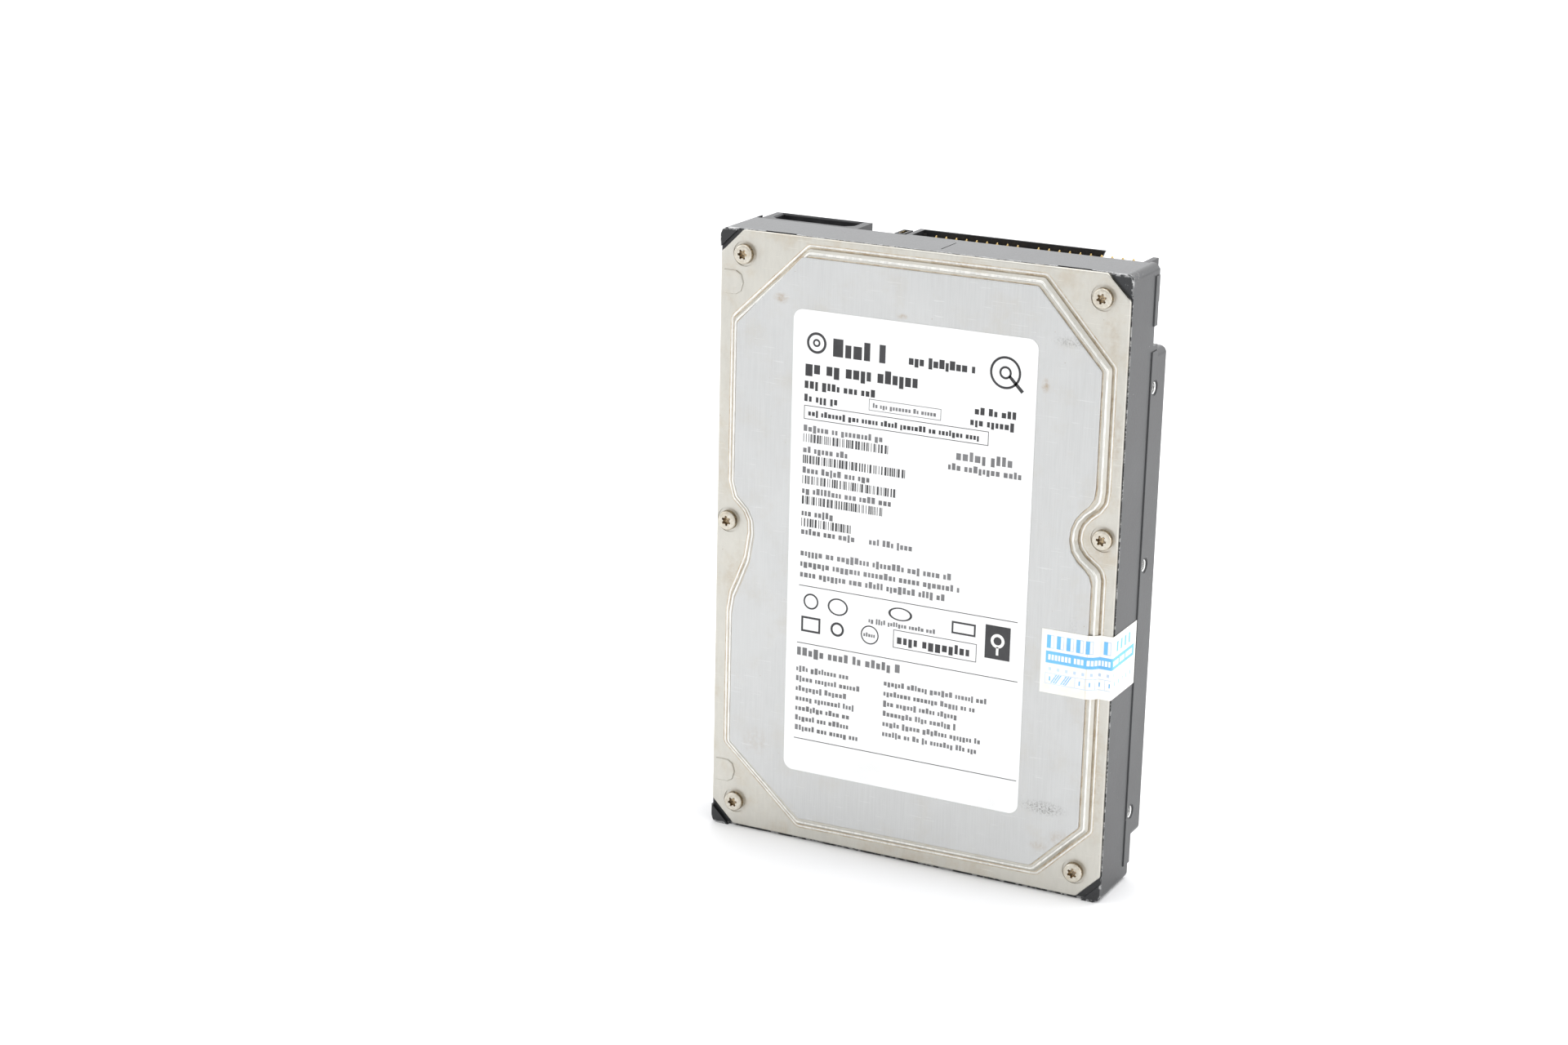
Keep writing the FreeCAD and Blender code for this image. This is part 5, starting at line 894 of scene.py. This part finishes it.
for _ in range(46):
    x, y = rng.uniform(-42, 42), rng.uniform(82, 131)
    if not inside(x, y, 1.4):
        continue
    d = rng.choice((0, 45, 90, 135, 180, 225, 270, 315))
    pts = [(x, y)]
    for k in range(rng.randint(2, 4)):
        step = rng.uniform(2.5, 9.0)
        nx, ny = x + step * math.cos(math.radians(d)), y + step * math.sin(math.radians(d))
        if not inside(nx, ny, 1.4) or not inside((x + nx) / 2, (y + ny) / 2, 1.2):
            break
        pts.append((nx, ny))
        x, y = nx, ny
        d += rng.choice((-45, 45))
    if len(pts) >= 2:
        for k in range(rng.choice((1, 2, 3, 4))):
            o = [(a + 0.42 * k, c + 0.30 * k) for a, c in pts]
            if all(inside(a, c, 0.9) for a, c in o):
                run(o, 0.22)
# wide supply areas
for pts in ([(-44.5, 131.5), (-44.5, 134.0), (-24.0, 134.0), (-24.0, 132.0), (-31.0, 132.0), (-31.0, 131.5)],
            [(-36.8, 88.5), (-36.8, 104.5), (-32.6, 104.5), (-32.6, 88.5)],
            [(26.5, 113.5), (26.5, 126.0), (32.0, 126.0), (32.0, 113.5)]):
    tr.prism(pts, BOUT - 0.03, BOUT + 0.02)
tr.make("board_traces", "trace_copper", slot="board_laminate")

# small vias in clusters
rng = random.Random(11)
via = Build()
for _ in range(210):
    cx, cy, w, h = rng.choice(((14, 121, 8, 8), (-27.5, 97.5, 5, 5), (2, 98, 7, 5), (-38, 118, 4, 6), (20, 108, 9, 4), (-15, 106, 6, 6), (34, 118, 5, 7)))
    x, y = cx + rng.uniform(-w, w), cy + rng.uniform(-h, h)
    if inside(x, y, 1.0) and off_patch(x, y) and all(math.hypot(x - a, y - c) > 0.95 for a, c in spots):
        via.annulus(x, y, 0.09, 0.24, BOUT - 0.03, BOUT + 0.008, 10)
via.make("board_vias", "copper_pad", slot="board_laminate")

# solder joints of the connector pins
sol = Build()
for i in range(20):
    x = -5.44 + 2.54 * i
    sol.dome(x, 133.72, 0.72, BOUT + 0.02, 0.55, n=14, rings=4, up=-1)
    if i != 9:
        sol.dome(x, 135.72, 0.72, BOUT + 0.02, 0.55, n=14, rings=4, up=-1)
for i in range(4):
    sol.dome(-35.55 + 5.08 * (i - 1.5), 135.1, 1.25, BOUT + 0.02, 0.75, n=18, rings=4, up=-1)
    sol.dome(-12.4 - 2.54 * i, 135.72, 0.72, BOUT + 0.02, 0.55, n=14, rings=4, up=-1)
    sol.dome(-12.4 - 2.54 * i, 133.72, 0.72, BOUT + 0.02, 0.55, n=14, rings=4, up=-1)
for i in range(4):
    sol.dome(-25.2 + 2.3 * i, 81.6, 0.75, BOUT + 0.02, 0.45, n=14, rings=4, up=-1)
sol.make("board_solder", "solder", slot="tin_plating", smooth=True)

# pointed, plated ends of the data connector pins
tips = Build()
for i in range(20):
    for k, t in enumerate((2.56, 5.10)):
        if i == 9 and k == 0:
            continue
        x = -5.44 + 2.54 * i
        lo, hi = 0.235, 0.13
        vs = [P(x + a * lo, 145.93, t + c * lo) for a, c in ((-1, -1), (1, -1), (1, 1), (-1, 1))]
        vs += [P(x + a * hi, 146.32, t + c * hi) for a, c in ((-1, -1), (1, -1), (1, 1), (-1, 1))]
        vs.append(P(x, 146.38, t))
        tips.add(vs, [(3, 2, 1, 0), (0, 1, 5, 4), (1, 2, 6, 5), (2, 3, 7, 6), (3, 0, 4, 7), (4, 5, 8), (5, 6, 8), (6, 7, 8), (7, 4, 8)])
tips.make("data_pin_tips", "gold_plating", slot="gold_plating")

# white patch with plain bars, and a round black plug
b = Build()
b.prism(rounded(PATCH, 0.5, 4), BOUT - 0.08, BOUT + 0.01)
b.make("board_patch", "patch_white", slot="label_stock")
b = Build()
rng = random.Random(3)
px, py = -25.0, 116.3
dx, dy = 19.5 / 19.73, 3.0 / 19.73
k = 0.0
while k < 15.5:
    w = rng.choice((0.16, 0.16, 0.32))
    a = (px + dx * k, py + dy * k)
    c = (px + dx * (k + w), py + dy * (k + w))
    b.prism([(a[0] + 0.1, a[1] - 0.6), (c[0] + 0.1, c[1] - 0.6), (c[0] - 0.12, c[1] + 0.9), (a[0] - 0.12, a[1] + 0.9)], BOUT - 0.10, BOUT - 0.075)
    k += w + rng.choice((0.2, 0.34))
b.make("board_patch_bars", "ink_dark", slot="label_stock")
b = Build()
b.lathe((-27.6, 12.7 - BOUT, 110.8), (0, 1, 0), [(0.0, -0.02), (0.0, 0.35), (0.7, 0.35), (0.95, 0.22), (1.0, -0.02)], 24)
b.make("board_plug", "plug_black", slot="connector_black", smooth=True)

# =================================================================== studio
def plane(name, size, z, mat):
    me = bpy.data.meshes.new(name)
    h = size / 2
    me.from_pydata([(-h, -h, z), (h, -h, z), (h, h, z), (-h, h, z)], [], [(0, 1, 2, 3)])
    me.materials.append(mat)
    o = bpy.data.objects.new(name, me)
    bpy.context.scene.collection.objects.link(o)
    return o


s = Shade("studio_floor")
s.set(Base_Color=s.mix(s.noise(0.004, 2, 0.5), (0.93, 0.93, 0.935), (0.95, 0.95, 0.95)), Roughness=0.85, Specular_IOR_Level=0.1)
plane("floor", 24.0, 0.0, s.m)

world = bpy.data.worlds.new("studio")
bpy.context.scene.world = world
world.use_nodes = True
wn = world.node_tree
wn.nodes.clear()
out = wn.nodes.new("ShaderNodeOutputWorld")
mixs = wn.nodes.new("ShaderNodeMixShader")
lp = wn.nodes.new("ShaderNodeLightPath")
seen = wn.nodes.new("ShaderNodeBackground")
seen.inputs[0].default_value = (1, 1, 1, 1)
seen.inputs[1].default_value = 1.0
lit = wn.nodes.new("ShaderNodeBackground")
tc = wn.nodes.new("ShaderNodeTexCoord")
sep = wn.nodes.new("ShaderNodeSeparateXYZ")
wn.links.new(tc.outputs["Generated"], sep.inputs[0])
mr = wn.nodes.new("ShaderNodeMapRange")
mr.inputs["From Min"].default_value = -0.1
mr.inputs["From Max"].default_value = 0.9
mr.inputs["To Min"].default_value = 0.80
mr.inputs["To Max"].default_value = 1.12
wn.links.new(sep.outputs["Z"], mr.inputs["Value"])
back = wn.nodes.new("ShaderNodeMapRange")
back.interpolation_type = "SMOOTHSTEP"
back.inputs["From Min"].default_value = 0.15
back.inputs["From Max"].default_value = 0.85
back.inputs["To Min"].default_value = 0.0
back.inputs["To Max"].default_value = 1.0
wn.links.new(sep.outputs["Y"], back.inputs["Value"])
low = wn.nodes.new("ShaderNodeMapRange")
low.interpolation_type = "SMOOTHSTEP"
low.inputs["From Min"].default_value = 0.25
low.inputs["From Max"].default_value = 0.75
low.inputs["To Min"].default_value = 1.0
low.inputs["To Max"].default_value = 0.0
wn.links.new(sep.outputs["Z"], low.inputs["Value"])
both = wn.nodes.new("ShaderNodeMath")
both.operation = "MULTIPLY"
wn.links.new(back.outputs[0], both.inputs[0])
wn.links.new(low.outputs[0], both.inputs[1])
total = wn.nodes.new("ShaderNodeMath")
total.operation = "ADD"
wn.links.new(mr.outputs[0], total.inputs[0])
wn.links.new(both.outputs[0], total.inputs[1])
wn.links.new(total.outputs[0], lit.inputs[1])
lit.inputs[0].default_value = (0.985, 0.99, 1.0, 1)
wn.links.new(lp.outputs["Is Camera Ray"], mixs.inputs[0])
wn.links.new(lit.outputs[0], mixs.inputs[1])
wn.links.new(seen.outputs[0], mixs.inputs[2])
wn.links.new(mixs.outputs[0], out.inputs[0])


def area(name, where, at, size, watts, color=(1, 1, 1)):
    l = bpy.data.lights.new(name, "AREA")
    l.shape = "RECTANGLE"
    l.size, l.size_y = size
    l.energy = watts
    l.color = color
    o = bpy.data.objects.new(name, l)
    o.location = where
    d = Vector(at) - Vector(where)
    o.rotation_euler = d.to_track_quat("-Z", "Y").to_euler()
    bpy.context.scene.collection.objects.link(o)
    return o


area("top_box", (0.1, 0.5, 1.3), (0, 0, 0.05), (1.6, 1.2), 9)
area("right_box", (1.5, 0.1, 0.55), (0, 0, 0.07), (0.9, 1.1), 6)
area("left_box", (-1.3, -0.7, 0.8), (0, 0, 0.07), (0.9, 0.9), 4)

cam_data = bpy.data.cameras.new("camera")
cam_data.sensor_fit = "HORIZONTAL"
cam_data.sensor_width = 36.0
cam_data.lens = 70.7204
cam_data.clip_start = 0.01
cam_data.clip_end = 60
cam = bpy.data.objects.new("camera", cam_data)
X = Vector((0.8908342327, 0.4538089551, 0.0217210059))
Y = -Vector((0.1469441579, -0.2425550373, -0.9589444553))
Z = -Vector((-0.4299090418, 0.8574523230, -0.2827609053))
cam.matrix_world = Matrix(((X.x, Y.x, Z.x, 0.277417), (X.y, Y.y, Z.y, -0.628867), (X.z, Y.z, Z.z, 0.282546), (0, 0, 0, 1)))
bpy.context.scene.collection.objects.link(cam)
bpy.context.scene.camera = cam
vs = bpy.context.scene.view_settings
vs.view_transform = "Standard"
vs.look = "None"
vs.exposure = 0.0
vs.gamma = 1.0
